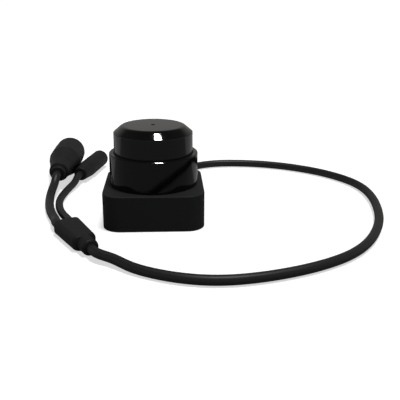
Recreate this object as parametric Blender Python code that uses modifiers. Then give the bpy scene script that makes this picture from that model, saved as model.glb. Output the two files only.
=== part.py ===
"""Compact scanning lidar module: a square base, a glossy collar and window cap round a spinning
optical head, and a cable that splits into a network socket and a power socket.

Metres, +Z up. The origin is the middle of the base's underside, and the cable leaves the rear, +Y.
"""

from math import cos, pi, radians, sin

import bmesh
import bpy
import numpy as np
from mathutils import Matrix, Vector

MM = 0.001
FIT = 0.3 * MM  # clearance between pieces that touch on the real object

# Base
BASE_WIDTH = 50.0 * MM
BASE_HEIGHT = 17.9 * MM
BASE_CORNER = 8.8 * MM
BASE_EDGE = 0.5 * MM
BASE_WALL = 3.4 * MM
DECK_THICKNESS = 2.0 * MM
DECK_HOLE_RADIUS = 17.5 * MM
LEDGE_WIDTH = 1.2 * MM
PLATE_THICKNESS = 2.5 * MM
SEAL_THICKNESS = 0.6 * MM
BOSS_RADIUS = 3.6 * MM
BOSS_INSET = 7.0 * MM
PAD_RADIUS = 3.0 * MM
PAD_HEIGHT = 1.9 * MM
MOUNT_SPACING = 25.0 * MM
MOUNT_HOLE_RADIUS = 1.25 * MM
MOUNT_HOLE_DEPTH = 3.8 * MM

# Screws
SCREW_RADIUS = 1.0 * MM
SCREW_HEAD_RADIUS = 1.9 * MM
SCREW_HEAD_HEIGHT = 1.2 * MM
PLATE_SCREW_LENGTH = 7.0 * MM
COLLAR_SCREW_COUNT = 3
COLLAR_SCREW_REACH = 1.2 * MM
SCREW_HOLE_RADIUS = SCREW_RADIUS + FIT
SCREW_SIDES = 12

# Collar and window cap
COLLAR_RADIUS = 22.3 * MM
COLLAR_HEIGHT = 15.8 * MM
COLLAR_WALL = 1.5 * MM
COLLAR_SHOULDER = 0.8 * MM
COLLAR_FLOOR = 2.0 * MM
CAP_RADIUS = 19.8 * MM
CAP_SIDE = 10.1 * MM
CAP_CROWN = 3.5 * MM
CAP_FLAT_RADIUS = 15.7 * MM
CAP_WALL = 1.6 * MM
CAP_SKIRT = 3.4 * MM
CAP_SKIRT_STEP = 0.8 * MM
WINDOW_SEAL_HEIGHT = 1.2 * MM
DIMPLE_RADIUS = 1.2 * MM
DIMPLE_DEPTH = 0.3 * MM

# Boards in the base
BOARD_THICKNESS = 1.2 * MM
BOARD_REAR_RELIEF = 2.4 * MM
SPACER_RADIUS = 1.7 * MM
SPACER_HEIGHT = 4.6 * MM
SPACER_X = 17.6 * MM
SPACER_Y = 9.0 * MM
PROCESSOR_PLACE = Vector((-5.5, -4.5, 0.0)) * MM
PROCESSOR_SIZE = Vector((10.0, 10.0, 1.2)) * MM
TRANSFORMER_PLACE = Vector((8.5, -3.0, 0.0)) * MM
TRANSFORMER_SIZE = Vector((9.0, 12.0, 3.6)) * MM
HEADER_PLACE = Vector((0.0, 11.0, 0.0)) * MM
HEADER_SIZE = Vector((10.0, 5.0, 4.0)) * MM
CAPACITOR_PLACE = Vector((7.5, 2.5, 0.0)) * MM
CAPACITOR_RADIUS = 3.0 * MM
CAPACITOR_HEIGHT = 6.6 * MM

# Spindle motor
BRACKET_THICKNESS = 1.5 * MM
SHAFT_RADIUS = 1.5 * MM
BEARING_RADIUS = 3.0 * MM
BEARING_WIDTH = 2.5 * MM
BEARING_CLEARANCE = 0.08 * MM
TUBE_WALL = 0.6 * MM
TUBE_HEIGHT = 7.7 * MM
MOTOR_BOARD_THICKNESS = 0.8 * MM
STATOR_TEETH = 6
STATOR_DEPTH = 4.2 * MM
TOOTH_TIP = 0.8 * MM
STATOR_YOKE = 1.2 * MM
TOOTH_WIDTH = 1.8 * MM
STATOR_HEIGHT = 2.0 * MM
COIL_THICKNESS = 0.7 * MM
COIL_LENGTH = 1.6 * MM
AIR_GAP = 0.5 * MM
MAGNET_THICKNESS = 1.3 * MM
MAGNET_HEIGHT = 4.2 * MM
BELL_WALL = 0.8 * MM
BELL_TOP = 1.2 * MM

# Power coils, code ring and its sensor
COIL_RING_INNER = 12.0 * MM
COIL_RING_OUTER = 14.8 * MM
PRIMARY_HEIGHT = 4.0 * MM
SECONDARY_HEIGHT = 1.0 * MM
CODE_RING_RADIUS = 17.6 * MM
CODE_RING_WALL = 0.8 * MM
CODE_RING_DROP = 3.6 * MM
CODE_SLOTS = 18
SENSOR_CLEARANCE = 0.5 * MM
SENSOR_LEG = 1.1 * MM
SENSOR_WIDTH = 4.0 * MM

# Spinning optical head
TABLE_THICKNESS = 1.6 * MM
HEAD_BOARD_THICKNESS = 0.8 * MM
HEAD_BOARD_RADIUS = 16.6 * MM
FRAME_SIZE = Vector((25.0, 14.0, 10.0)) * MM
FRAME_FRONT = 11.6 * MM
RECEIVER_X = 4.6 * MM
RECEIVER_LENS_RADIUS = 4.1 * MM
EMITTER_X = -7.0 * MM
EMITTER_LENS_RADIUS = 2.1 * MM
LENS_SINK = 0.8 * MM
DIODE_RADIUS = 2.8 * MM
DIODE_CAN_RADIUS = 1.7 * MM

# Cable
CORD_RADIUS = 2.25 * MM
TAIL_RADIUS_NETWORK = 2.3 * MM
TAIL_RADIUS_POWER = 2.0 * MM
FLOOR_CLEARANCE = 0.1 * MM
EXIT_HEIGHT = 9.0 * MM
RELIEF_HOLE_RADIUS = 3.6 * MM
RELIEF_FLANGE_RADIUS = 4.9 * MM
RELIEF_FLANGE = 1.6 * MM
RELIEF_LENGTH = 12.7 * MM
LEAD_RADIUS = 1.6 * MM
SPLIT_REAR = (-42.3 * MM, -23.0 * MM)
SPLIT_FRONT = (-30.2 * MM, -46.2 * MM)
SPLIT_WIDTH = 13.0 * MM
SPLIT_TAPER = 0.86
SPLIT_HEIGHT = 7.5 * MM
SPLIT_NOSE_RADIUS = 3.9 * MM
SPLIT_NOSE_LENGTH = 7.0 * MM
TAIL_SPACING = 6.4 * MM

# Sockets on the two tails
NETWORK_REAR = (-56.6 * MM, 43.5 * MM)
NETWORK_LENGTH = 53.5 * MM
NETWORK_RADIUS = 9.4 * MM
NETWORK_NECK_RADIUS = 4.3 * MM
NETWORK_NECK_LENGTH = 3.8 * MM
NETWORK_CONE_LENGTH = 26.0 * MM
NETWORK_MOUTH_LENGTH = 8.0 * MM
NETWORK_MOUTH_STEP = 0.2 * MM
JACK_WIDTH = 13.0 * MM
JACK_HEIGHT = 10.2 * MM
JACK_DEPTH = 17.4 * MM
JACK_PORT_WIDTH = 11.8 * MM
JACK_PORT_HEIGHT = 7.4 * MM
JACK_PORT_DEPTH = 14.0 * MM
CONTACT_COUNT = 8
CONTACT_PITCH = 1.02 * MM
CONTACT_WIDTH = 0.4 * MM
POWER_REAR = (-45.5 * MM, 57.0 * MM)
POWER_FRONT = (-37.1 * MM, 95.0 * MM)
POWER_RADIUS = 5.2 * MM
POWER_NECK_RADIUS = 4.0 * MM
POWER_CONE_LENGTH = 11.5 * MM
POWER_BORE_DEPTH = 10.5 * MM
POWER_PLUG_RADIUS = 2.85 * MM
POWER_SLEEVE_WALL = 0.35 * MM
POWER_PIN_RADIUS = 1.0 * MM

# Routes of the cords' smooth curves, in millimetres: x, y and the height above lying on the floor
CORD_ROUTE = [
    (0.5, 48.0, 5.4), (3.0, 56.5, 3.6), (7.5, 65.0, 1.8), (13.5, 73.0, 0.6), (21.0, 80.0, 0.0),
    (29.5, 85.6, 0.0), (41.0, 89.3, 0.0), (55.5, 89.2, 0.0), (69.0, 86.5, 0.0), (81.5, 81.6, 0.0),
    (93.0, 74.8, 0.0), (104.0, 65.5, 0.0), (113.0, 54.0, 0.0), (119.0, 41.0, 0.0), (121.0, 27.0, 0.0),
    (120.2, 12.5, 0.0), (117.5, -2.5, 0.0), (113.0, -18.5, 0.0), (107.0, -32.5, 0.0), (98.5, -47.0, 0.0),
    (87.0, -60.0, 0.0), (72.5, -70.0, 0.0), (56.5, -77.2, 0.0), (41.0, -81.6, 0.0), (26.0, -83.0, 0.0),
    (12.5, -80.6, 0.0), (0.5, -75.5, 0.0), (-10.0, -68.5, 0.3), (-17.5, -62.0, 1.0),
]
NETWORK_TAIL_ROUTE = [
    (-48.6, -15.0, 0.6), (-51.6, -6.0, 0.0), (-54.6, 4.0, 0.0), (-56.6, 14.0, 0.0), (-57.6, 23.0, 0.8),
    (-57.5, 30.5, 2.6), (-56.9, 36.5, 5.2),
]
POWER_TAIL_ROUTE = [
    (-42.8, -13.0, 0.7), (-46.6, -4.0, 0.0), (-49.9, 6.0, 0.0), (-51.7, 17.5, 0.0), (-51.3, 29.0, 0.0),
    (-49.3, 39.5, 0.6), (-47.2, 48.0, 1.9),
]

# Heights that follow from the sizes above
DECK_TOP = BASE_HEIGHT
DECK_UNDERSIDE = BASE_HEIGHT - DECK_THICKNESS
CAVITY_WIDTH = BASE_WIDTH - 2 * BASE_WALL
LEDGE_Z = PLATE_THICKNESS + FIT + SEAL_THICKNESS + FIT
MAIN_BOARD_Z = PLATE_THICKNESS + PAD_HEIGHT + FIT
SPACER_Z = MAIN_BOARD_Z + BOARD_THICKNESS + FIT
POWER_BOARD_Z = SPACER_Z + SPACER_HEIGHT + FIT
MAIN_PARTS_Z = MAIN_BOARD_Z + BOARD_THICKNESS + FIT
COLLAR_Z = DECK_TOP + FIT
COLLAR_TOP = COLLAR_Z + COLLAR_HEIGHT
COLLAR_BORE = COLLAR_RADIUS - COLLAR_WALL
CAP_TOP = COLLAR_TOP + CAP_SIDE + CAP_CROWN
BRACKET_Z = COLLAR_Z + COLLAR_FLOOR + FIT
BRACKET_TOP = BRACKET_Z + BRACKET_THICKNESS
TUBE_TOP = BRACKET_Z + TUBE_HEIGHT
TUBE_BORE = BEARING_RADIUS + FIT
TUBE_RADIUS = TUBE_BORE + TUBE_WALL
STATOR_BORE = TUBE_RADIUS + FIT
STATOR_RADIUS = STATOR_BORE + STATOR_DEPTH
MOTOR_BOARD_Z = BRACKET_TOP + FIT
MOTOR_BOARD_TOP = MOTOR_BOARD_Z + MOTOR_BOARD_THICKNESS
STATOR_Z = MOTOR_BOARD_TOP + 1.5 * MM
MAGNET_Z = MOTOR_BOARD_TOP + 0.6 * MM
MAGNET_INNER = STATOR_RADIUS + AIR_GAP
MAGNET_OUTER = MAGNET_INNER + MAGNET_THICKNESS
BELL_RADIUS = MAGNET_OUTER + FIT + BELL_WALL
BELL_TOP_Z = max(MAGNET_Z + MAGNET_HEIGHT, TUBE_TOP) + FIT
TABLE_Z = BELL_TOP_Z + BELL_TOP + FIT
TABLE_TOP = TABLE_Z + TABLE_THICKNESS
HEAD_BOARD_Z = TABLE_TOP + FIT
FRAME_Z = HEAD_BOARD_Z + HEAD_BOARD_THICKNESS + FIT
OPTICAL_Z = FRAME_Z + FRAME_SIZE.z / 2
FRAME_BACK = FRAME_SIZE.y - FRAME_FRONT
BOSS_CENTRE = BASE_WIDTH / 2 - BOSS_INSET
SKIRT_LOW = COLLAR_TOP - COLLAR_WALL - CAP_SKIRT
SPLIT_START = Vector((*SPLIT_REAR, SPLIT_HEIGHT / 2 + FLOOR_CLEARANCE))
SPLIT_END = Vector((*SPLIT_FRONT, SPLIT_HEIGHT / 2 + FLOOR_CLEARANCE))
NETWORK_START = Vector((*NETWORK_REAR, NETWORK_RADIUS + FLOOR_CLEARANCE))
NETWORK_END = NETWORK_START + Vector((0.0, NETWORK_LENGTH, 0.0))
POWER_START = Vector((*POWER_REAR, POWER_RADIUS + FLOOR_CLEARANCE))
POWER_END = Vector((*POWER_FRONT, POWER_RADIUS + FLOOR_CLEARANCE))
REAR_WALL_INNER = CAVITY_WIDTH / 2


# Scene and materials


def clear_scene():
    """Remove whatever the scene holds, so that only the module is left."""
    for thing in list(bpy.data.objects):
        bpy.data.objects.remove(thing, do_unlink=True)


clear_scene()
MODULE = bpy.data.collections.new("lidar_scanner_module")
CUTTERS = bpy.data.collections.new("cutters")
bpy.context.scene.collection.children.link(MODULE)
bpy.context.scene.collection.children.link(CUTTERS)

FINISHES = {
    "satin_black": ((0.012, 0.012, 0.013), 0.42, 0.0),
    "gloss_black": ((0.004, 0.004, 0.005), 0.06, 0.0),
    "window_black": ((0.004, 0.004, 0.005), 0.04, 0.0),
    "cord_rubber": ((0.018, 0.018, 0.019), 0.6, 0.0),
    "cord_jacket": ((0.022, 0.021, 0.022), 0.5, 0.0),
    "seal_rubber": ((0.01, 0.01, 0.01), 0.7, 0.0),
    "board_green": ((0.01, 0.09, 0.035), 0.4, 0.0),
    "chip_black": ((0.015, 0.015, 0.016), 0.5, 0.0),
    "white_plastic": ((0.6, 0.59, 0.56), 0.45, 0.0),
    "steel": ((0.55, 0.55, 0.56), 0.3, 1.0),
    "dark_steel": ((0.06, 0.06, 0.065), 0.35, 1.0),
    "aluminium": ((0.72, 0.72, 0.73), 0.35, 1.0),
    "copper": ((0.75, 0.30, 0.12), 0.35, 1.0),
    "gold_brass": ((0.80, 0.58, 0.22), 0.25, 1.0),
    "magnet": ((0.12, 0.12, 0.125), 0.55, 0.8),
    "lens_glass": ((0.35, 0.12, 0.16), 0.03, 0.0),
}


def finish_material(node, finish):
    """A Principled material of the node's own, with the colour and gloss of its finish."""
    colour, roughness, metallic = FINISHES[finish]
    material = bpy.data.materials.new(node)
    material.use_nodes = True
    shader = material.node_tree.nodes["Principled BSDF"]
    shader.inputs["Base Color"].default_value = (*colour, 1.0)
    shader.inputs["Roughness"].default_value = roughness
    shader.inputs["Metallic"].default_value = metallic
    return material


def add_object(name, data, finish):
    """Link mesh or curve data as a node of the module, or as a cutter when it has no finish."""
    thing = bpy.data.objects.new(name, data)
    if finish is None:
        CUTTERS.objects.link(thing)
        thing.hide_render = True
        thing.display_type = "WIRE"
    else:
        MODULE.objects.link(thing)
        data.materials.append(finish_material(name, finish))
    return thing


# Shapes


def mesh_from(name, build):
    """A mesh made by a function that fills a bmesh."""
    work = bmesh.new()
    build(work)
    mesh = bpy.data.meshes.new(name)
    work.to_mesh(mesh)
    work.free()
    return mesh


def block(name, low, high, finish, corner=0.0, segments=6):
    """A box between two corners, with its upright edges rounded to the corner radius."""
    low, high = Vector(low), Vector(high)

    def build(work):
        bmesh.ops.create_cube(work, size=1.0)
        size = high - low
        bmesh.ops.scale(work, vec=size, verts=work.verts)
        bmesh.ops.translate(work, vec=(low + high) / 2, verts=work.verts)
        if corner > 0:
            upright = [e for e in work.edges if abs(e.verts[0].co.z - e.verts[1].co.z) > size.z / 2]
            bmesh.ops.bevel(
                work, geom=upright, offset=corner, segments=segments, profile=0.5, affect="EDGES"
            )

    return add_object(name, mesh_from(name, build), finish)


def square_block(name, width, corner, bottom, top, finish, segments=6):
    """A square block centred on the module's axis."""
    half = width / 2
    return block(name, (-half, -half, bottom), (half, half, top), finish, corner, segments)


def rod(name, radius, bottom, top, finish, x=0.0, y=0.0, sides=24):
    """An upright cylinder."""

    def build(work):
        place = Matrix.Translation((x, y, (bottom + top) / 2))
        bmesh.ops.create_cone(
            work, cap_ends=True, segments=sides, radius1=radius, radius2=radius,
            depth=top - bottom, matrix=place,
        )

    return add_object(name, mesh_from(name, build), finish)


def turned(name, profile, finish, sides=48, closed=False):
    """Turn a profile of (radius, height) points about Z. It runs down its outer side.

    A closed profile joins its last point to its first and never meets the axis.
    """

    def build(work):
        points = [work.verts.new((radius, 0.0, height)) for radius, height in profile]
        for start, end in zip(points, points[1:]):
            work.edges.new((start, end))
        if closed:
            work.edges.new((points[-1], points[0]))

    thing = add_object(name, mesh_from(name, build), finish)
    screw = thing.modifiers.new("turn", "SCREW")
    screw.steps = sides
    screw.render_steps = sides
    screw.use_merge_vertices = True
    screw.merge_threshold = 1e-6
    return thing


def ring(name, inner, outer, bottom, top, finish, sides=36):
    """A plain ring of rectangular section."""
    profile = [(outer, top), (outer, bottom), (inner, bottom), (inner, top)]
    return turned(name, profile, finish, sides, closed=True)


def cut(thing, cutter, operation="DIFFERENCE"):
    """Cut one solid from another, or join it on."""
    boolean = thing.modifiers.new(cutter.name, "BOOLEAN")
    boolean.operation = operation
    boolean.object = cutter


def round_edges(thing, width, segments=2):
    """Round the edges that turn by more than half a right angle."""
    bevel = thing.modifiers.new("round_edges", "BEVEL")
    bevel.width = width
    bevel.segments = segments
    bevel.limit_method = "ANGLE"
    bevel.angle_limit = radians(45)


def arc(centre, radius, start, end, steps):
    """Points along an arc in the profile plane, with its angles in degrees."""
    angles = np.radians(np.linspace(start, end, steps + 1))
    return [(centre[0] + radius * cos(a), centre[1] + radius * sin(a)) for a in angles]


def plate(name, outlines, bottom, top, finish):
    """A flat piece cut to an outline. Further outlines are its holes."""
    curve = bpy.data.curves.new(name, "CURVE")
    curve.dimensions = "2D"
    curve.fill_mode = "BOTH"
    curve.extrude = (top - bottom) / 2
    for outline in outlines:
        spline = curve.splines.new("POLY")
        spline.points.add(len(outline) - 1)
        for point, (x, y) in zip(spline.points, outline):
            point.co = (x, y, 0.0, 1.0)
        spline.use_cyclic_u = True
    thing = add_object(name, curve, finish)
    thing.location.z = (bottom + top) / 2
    return thing


def circle(radius, sides=24, x=0.0, y=0.0):
    """A circle's outline."""
    angles = np.linspace(0, 2 * pi, sides, endpoint=False)
    return [(x + radius * cos(a), y + radius * sin(a)) for a in angles]


def along(thing, start, end):
    """Lay a piece that was turned about Z along the line from start to end."""
    direction = (Vector(end) - Vector(start)).normalized()
    thing.rotation_mode = "QUATERNION"
    thing.rotation_quaternion = direction.to_track_quat("Z", "Y")
    thing.location = start
    return thing


def smooth_curve(points, start_way, end_way, spacing):
    """Points at an even spacing along the cubic spline through the given points.

    The spline leaves and arrives along the two given directions.
    """
    points = np.array(points, float)
    knots = np.concatenate([[0.0], np.cumsum(np.linalg.norm(np.diff(points, axis=0), axis=1))])
    gaps = np.diff(knots)
    count = len(points)
    system = np.zeros((count, count))
    right = np.zeros((count, 3))
    system[0, 0] = system[-1, -1] = 1.0
    right[0] = Vector(start_way).normalized()
    right[-1] = Vector(end_way).normalized()
    slopes = np.diff(points, axis=0) / gaps[:, None]
    for i in range(1, count - 1):
        system[i, i - 1 : i + 2] = gaps[i], 2 * (gaps[i - 1] + gaps[i]), gaps[i - 1]
        right[i] = 3 * (gaps[i] * slopes[i - 1] + gaps[i - 1] * slopes[i])
    tangents = np.linalg.solve(system, right)
    places = np.linspace(0, knots[-1], max(2, round(knots[-1] / spacing)) + 1)
    piece = np.clip(np.searchsorted(knots, places, side="right") - 1, 0, count - 2)
    t = ((places - knots[piece]) / gaps[piece])[:, None]
    low, high = points[piece], points[piece + 1]
    low_way, high_way = tangents[piece] * gaps[piece, None], tangents[piece + 1] * gaps[piece, None]
    return (
        (1 + 2 * t) * (1 - t) ** 2 * low
        + t * (1 - t) ** 2 * low_way
        + t**2 * (3 - 2 * t) * high
        + t**2 * (t - 1) * high_way
    )


def cord(name, route, start, start_way, end, end_way, radius):
    """A cord from start to end through a route in millimetres, with a short straight run at each end."""
    start, end = Vector(start), Vector(end)
    straight = 1.5 * radius
    low = Vector((0.0, 0.0, radius + FLOOR_CLEARANCE))
    points = [start + Vector(start_way).normalized() * straight]
    points += [Vector(place) * MM + low for place in route]
    points += [end - Vector(end_way).normalized() * straight]
    curve = bpy.data.curves.new(name, "CURVE")
    curve.dimensions = "3D"
    curve.bevel_depth = radius
    curve.bevel_resolution = 2
    curve.use_fill_caps = True
    spline = curve.splines.new("POLY")
    line = [start, *smooth_curve(points, start_way, end_way, 4.8 * radius), end]
    spline.points.add(len(line) - 1)
    for point, place in zip(spline.points, line):
        point.co = (*place, 1.0)
    return add_object(name, curve, "cord_jacket")


# Base


def corner_places(distance):
    """The four places at this distance from both of the base's centre lines."""
    return [(sx * distance, sy * distance) for sx in (-1, 1) for sy in (-1, 1)]


def make_base_housing():
    """The square body: four walls and a deck, with a ledge for the plate and a boss in each corner."""
    housing = square_block(
        "base_housing", BASE_WIDTH, BASE_CORNER, 0.0, BASE_HEIGHT, "satin_black", segments=8
    )
    round_edges(housing, BASE_EDGE)
    cavity = square_block(
        "cavity_cutter", CAVITY_WIDTH, BASE_CORNER - BASE_WALL, -MM, DECK_UNDERSIDE, None
    )
    recess_width = CAVITY_WIDTH + 2 * LEDGE_WIDTH
    recess_corner = BASE_CORNER - BASE_WALL + LEDGE_WIDTH
    recess = square_block("recess_cutter", recess_width, recess_corner, -MM, LEDGE_Z, None)
    hole_low, hole_high = DECK_UNDERSIDE - MM, DECK_TOP + MM
    deck_hole = rod("deck_hole_cutter", DECK_HOLE_RADIUS, hole_low, hole_high, None, sides=48)
    cut(housing, cavity)
    cut(housing, recess)
    for number, (x, y) in enumerate(corner_places(BOSS_CENTRE), 1):
        boss = rod(f"boss_{number}", BOSS_RADIUS, LEDGE_Z, DECK_TOP - MM, None, x, y, 16)
        cut(housing, boss, "UNION")
        top = PLATE_SCREW_LENGTH + SCREW_HEAD_HEIGHT + FIT
        hole = rod(f"boss_hole_{number}", SCREW_HOLE_RADIUS, LEDGE_Z - MM, top, None, x, y, SCREW_SIDES)
        cut(housing, hole)
    cut(housing, deck_hole)
    for number, (x, y) in enumerate(collar_screw_places(), 1):
        name = f"deck_screw_hole_{number}"
        hole = rod(name, SCREW_HOLE_RADIUS, hole_low, hole_high, None, x, y, SCREW_SIDES)
        cut(housing, hole)
    relief_hole = rod("relief_hole_cutter", RELIEF_HOLE_RADIUS, 0.0, 2 * BASE_WALL, None)
    along(relief_hole, (0, REAR_WALL_INNER - BASE_WALL / 2, EXIT_HEIGHT), (0, BASE_WIDTH, EXIT_HEIGHT))
    cut(housing, relief_hole)


def make_bottom_plate():
    """The lid in the underside, with pads that carry the main board and hold the mounting threads."""
    width = CAVITY_WIDTH + 2 * LEDGE_WIDTH - 2 * FIT
    corner = BASE_CORNER - BASE_WALL + LEDGE_WIDTH - FIT
    lid = square_block("bottom_plate", width, corner, 0.0, PLATE_THICKNESS, "satin_black")
    for number, (x, y) in enumerate(corner_places(BOSS_CENTRE), 1):
        name, top = f"plate_hole_{number}", PLATE_THICKNESS + MM
        hole = rod(name, SCREW_HOLE_RADIUS, -MM, top, None, x, y, SCREW_SIDES)
        name, top = f"head_recess_{number}", SCREW_HEAD_HEIGHT + FIT
        recess = rod(name, SCREW_HEAD_RADIUS + FIT, -MM, top, None, x, y, 16)
        cut(lid, hole)
        cut(lid, recess)
    for number, (x, y) in enumerate(corner_places(MOUNT_SPACING / 2), 1):
        low, top = PLATE_THICKNESS - MM, PLATE_THICKNESS + PAD_HEIGHT
        pad = rod(f"pad_{number}", PAD_RADIUS, low, top, None, x, y, sides=12)
        thread = rod(f"mount_hole_{number}", MOUNT_HOLE_RADIUS, -MM, MOUNT_HOLE_DEPTH, None, x, y, sides=12)
        cut(lid, pad, "UNION")
        cut(lid, thread)


def make_bottom_seal():
    """The gasket between the plate and the housing's ledge."""
    outer = CAVITY_WIDTH + 2 * LEDGE_WIDTH - 2 * FIT
    bottom = PLATE_THICKNESS + FIT
    seal_corner = BASE_CORNER - BASE_WALL + LEDGE_WIDTH - FIT
    seal = square_block("bottom_seal", outer, seal_corner, bottom, bottom + SEAL_THICKNESS, "seal_rubber")
    inner = CAVITY_WIDTH + 2 * FIT
    inner_corner = BASE_CORNER - BASE_WALL + FIT
    hole = square_block("seal_cutter", inner, inner_corner, bottom - MM, bottom + SEAL_THICKNESS + MM, None)
    cut(seal, hole)


def screw_profile(head_low, shank_high):
    """A pan-head screw that points up: its profile from the tip down to the head."""
    head_high = head_low + SCREW_HEAD_HEIGHT
    socket = 0.6 * MM
    return [
        (0.0, shank_high),
        (SCREW_RADIUS * 0.6, shank_high),
        (SCREW_RADIUS, shank_high - 0.5 * MM),
        (SCREW_RADIUS, head_high),
        (SCREW_HEAD_RADIUS, head_high),
        (SCREW_HEAD_RADIUS, head_low + 0.3 * MM),
        (SCREW_HEAD_RADIUS - 0.3 * MM, head_low),
        (SCREW_RADIUS * 0.8, head_low),
        (SCREW_RADIUS * 0.8, head_low + socket),
        (0.0, head_low + socket),
    ]


def make_bottom_screws():
    """Four screws that hold the plate to the corner bosses."""
    for number, (x, y) in enumerate(corner_places(BOSS_CENTRE), 1):
        profile = screw_profile(FIT / 2, PLATE_SCREW_LENGTH)
        screw = turned(f"bottom_screw_{number}", profile, "dark_steel", SCREW_SIDES)
        screw.location = (x, y, 0.0)


# Collar and window cap


def collar_screw_places():
    """Places of the screws that hold the collar down, whose heads reach in to the deck's hole."""
    radius = DECK_HOLE_RADIUS + SCREW_HEAD_RADIUS
    turns = [2 * pi * k / COLLAR_SCREW_COUNT - pi / 2 for k in range(COLLAR_SCREW_COUNT)]
    return [(radius * cos(a), radius * sin(a)) for a in turns]


def make_collar():
    """The lower round shell: a wall with a rounded shoulder, closed in to the window cap."""
    lip = CAP_RADIUS + FIT
    floor_inner = DECK_HOLE_RADIUS + FIT
    ceiling = COLLAR_TOP - COLLAR_WALL
    shoulder_centre = (COLLAR_RADIUS - COLLAR_SHOULDER, COLLAR_TOP - COLLAR_SHOULDER)
    profile = [(lip, COLLAR_TOP)]
    profile += arc(shoulder_centre, COLLAR_SHOULDER, 90, 0, 3)
    profile += [
        (COLLAR_RADIUS, COLLAR_Z),
        (floor_inner, COLLAR_Z),
        (floor_inner, COLLAR_Z + COLLAR_FLOOR),
        (COLLAR_BORE, COLLAR_Z + COLLAR_FLOOR),
        (COLLAR_BORE, ceiling),
        (lip, ceiling),
    ]
    collar = turned("collar", profile, "gloss_black", closed=True)
    for number, (x, y) in enumerate(collar_screw_places(), 1):
        top = COLLAR_Z + COLLAR_SCREW_REACH + FIT
        name = f"pilot_hole_{number}"
        pilot = rod(name, SCREW_HOLE_RADIUS, DECK_TOP - MM, top, None, x, y, SCREW_SIDES)
        cut(collar, pilot)


def make_collar_screws():
    """Screws through the deck, from below, into the collar's floor."""
    head_low = DECK_UNDERSIDE - FIT - SCREW_HEAD_HEIGHT
    for number, (x, y) in enumerate(collar_screw_places(), 1):
        profile = screw_profile(head_low, COLLAR_Z + COLLAR_SCREW_REACH)
        screw = turned(f"collar_screw_{number}", profile, "dark_steel", SCREW_SIDES)
        screw.location = (x, y, 0.0)


def make_window_cap():
    """The upper shell that the laser shines through, with its skirt held under the collar's lip."""
    chamfer_low = COLLAR_TOP + CAP_SIDE
    flange = COLLAR_BORE - FIT
    flange_top = COLLAR_TOP - COLLAR_WALL - 2 * FIT - WINDOW_SEAL_HEIGHT
    inside = CAP_RADIUS - CAP_WALL
    profile = [
        (0.0, CAP_TOP - DIMPLE_DEPTH),
        (DIMPLE_RADIUS * 0.6, CAP_TOP - DIMPLE_DEPTH),
        (DIMPLE_RADIUS, CAP_TOP),
        (CAP_FLAT_RADIUS - 0.3 * MM, CAP_TOP),
        (CAP_FLAT_RADIUS + 0.3 * MM, CAP_TOP - 0.25 * MM),
        (CAP_RADIUS - 0.2 * MM, chamfer_low + 0.2 * MM),
        (CAP_RADIUS, chamfer_low - 0.2 * MM),
        (CAP_RADIUS, COLLAR_TOP - COLLAR_WALL),
        (CAP_RADIUS - CAP_SKIRT_STEP, COLLAR_TOP - COLLAR_WALL),
        (CAP_RADIUS - CAP_SKIRT_STEP, flange_top),
        (flange, flange_top),
        (flange, SKIRT_LOW),
        (inside, SKIRT_LOW),
        (inside, chamfer_low),
        (CAP_FLAT_RADIUS - CAP_WALL / 2, CAP_TOP - CAP_WALL),
        (0.0, CAP_TOP - CAP_WALL),
    ]
    turned("window_cap", profile, "window_black")


def make_window_seal():
    """The ring that seals the cap's flange to the collar's lip."""
    top = COLLAR_TOP - COLLAR_WALL - FIT
    inner = CAP_RADIUS - CAP_SKIRT_STEP + FIT
    ring("window_seal", inner, COLLAR_BORE - FIT, top - WINDOW_SEAL_HEIGHT, top, "seal_rubber")


# Boards in the base


def board_outline():
    """A square board notched clear of the corner bosses and of the cable's strain relief."""
    half = CAVITY_WIDTH / 2 - FIT
    rear = half - BOARD_REAR_RELIEF
    notch = BOSS_CENTRE - BOSS_RADIUS - FIT
    return [
        (-notch, -half), (notch, -half), (notch, -notch), (half, -notch), (half, notch), (notch, notch),
        (notch, rear), (-notch, rear), (-notch, notch), (-half, notch), (-half, -notch), (-notch, -notch),
    ]


def make_boards():
    """The network and processor board, and the power board above it on four spacers."""
    main_top = MAIN_BOARD_Z + BOARD_THICKNESS
    power_top = POWER_BOARD_Z + BOARD_THICKNESS
    plate("main_board", [board_outline()], MAIN_BOARD_Z, main_top, "board_green")
    plate("power_board", [board_outline()], POWER_BOARD_Z, power_top, "board_green")
    places = [(sx * SPACER_X, sy * SPACER_Y) for sx in (-1, 1) for sy in (-1, 1)]
    for number, (x, y) in enumerate(places, 1):
        name = f"board_spacer_{number}"
        rod(name, SPACER_RADIUS, SPACER_Z, SPACER_Z + SPACER_HEIGHT, "gold_brass", x, y, 6)


def on_main_board(name, place, size, finish):
    """A box-shaped part that stands on the main board."""
    low = place - Vector((size.x / 2, size.y / 2, -MAIN_PARTS_Z))
    block(name, low, low + size, finish)


def make_board_parts():
    """The larger parts on the two boards."""
    on_main_board("processor_chip", PROCESSOR_PLACE, PROCESSOR_SIZE, "chip_black")
    on_main_board("network_transformer", TRANSFORMER_PLACE, TRANSFORMER_SIZE, "chip_black")
    on_main_board("cable_header", HEADER_PLACE, HEADER_SIZE, "white_plastic")
    low = POWER_BOARD_Z + BOARD_THICKNESS + FIT
    top = low + CAPACITOR_HEIGHT
    edge = 0.4 * MM
    groove_low, groove_high = low + 1.1 * MM, low + 1.5 * MM
    profile = [
        (0.0, top), (CAPACITOR_RADIUS - edge, top), (CAPACITOR_RADIUS, top - edge),
        (CAPACITOR_RADIUS, groove_high), (CAPACITOR_RADIUS - edge / 2, (groove_low + groove_high) / 2),
        (CAPACITOR_RADIUS, groove_low), (CAPACITOR_RADIUS, low), (0.0, low),
    ]
    capacitor = turned("filter_capacitor", profile, "aluminium", sides=24)
    capacitor.location = CAPACITOR_PLACE


# Spindle motor


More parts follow.
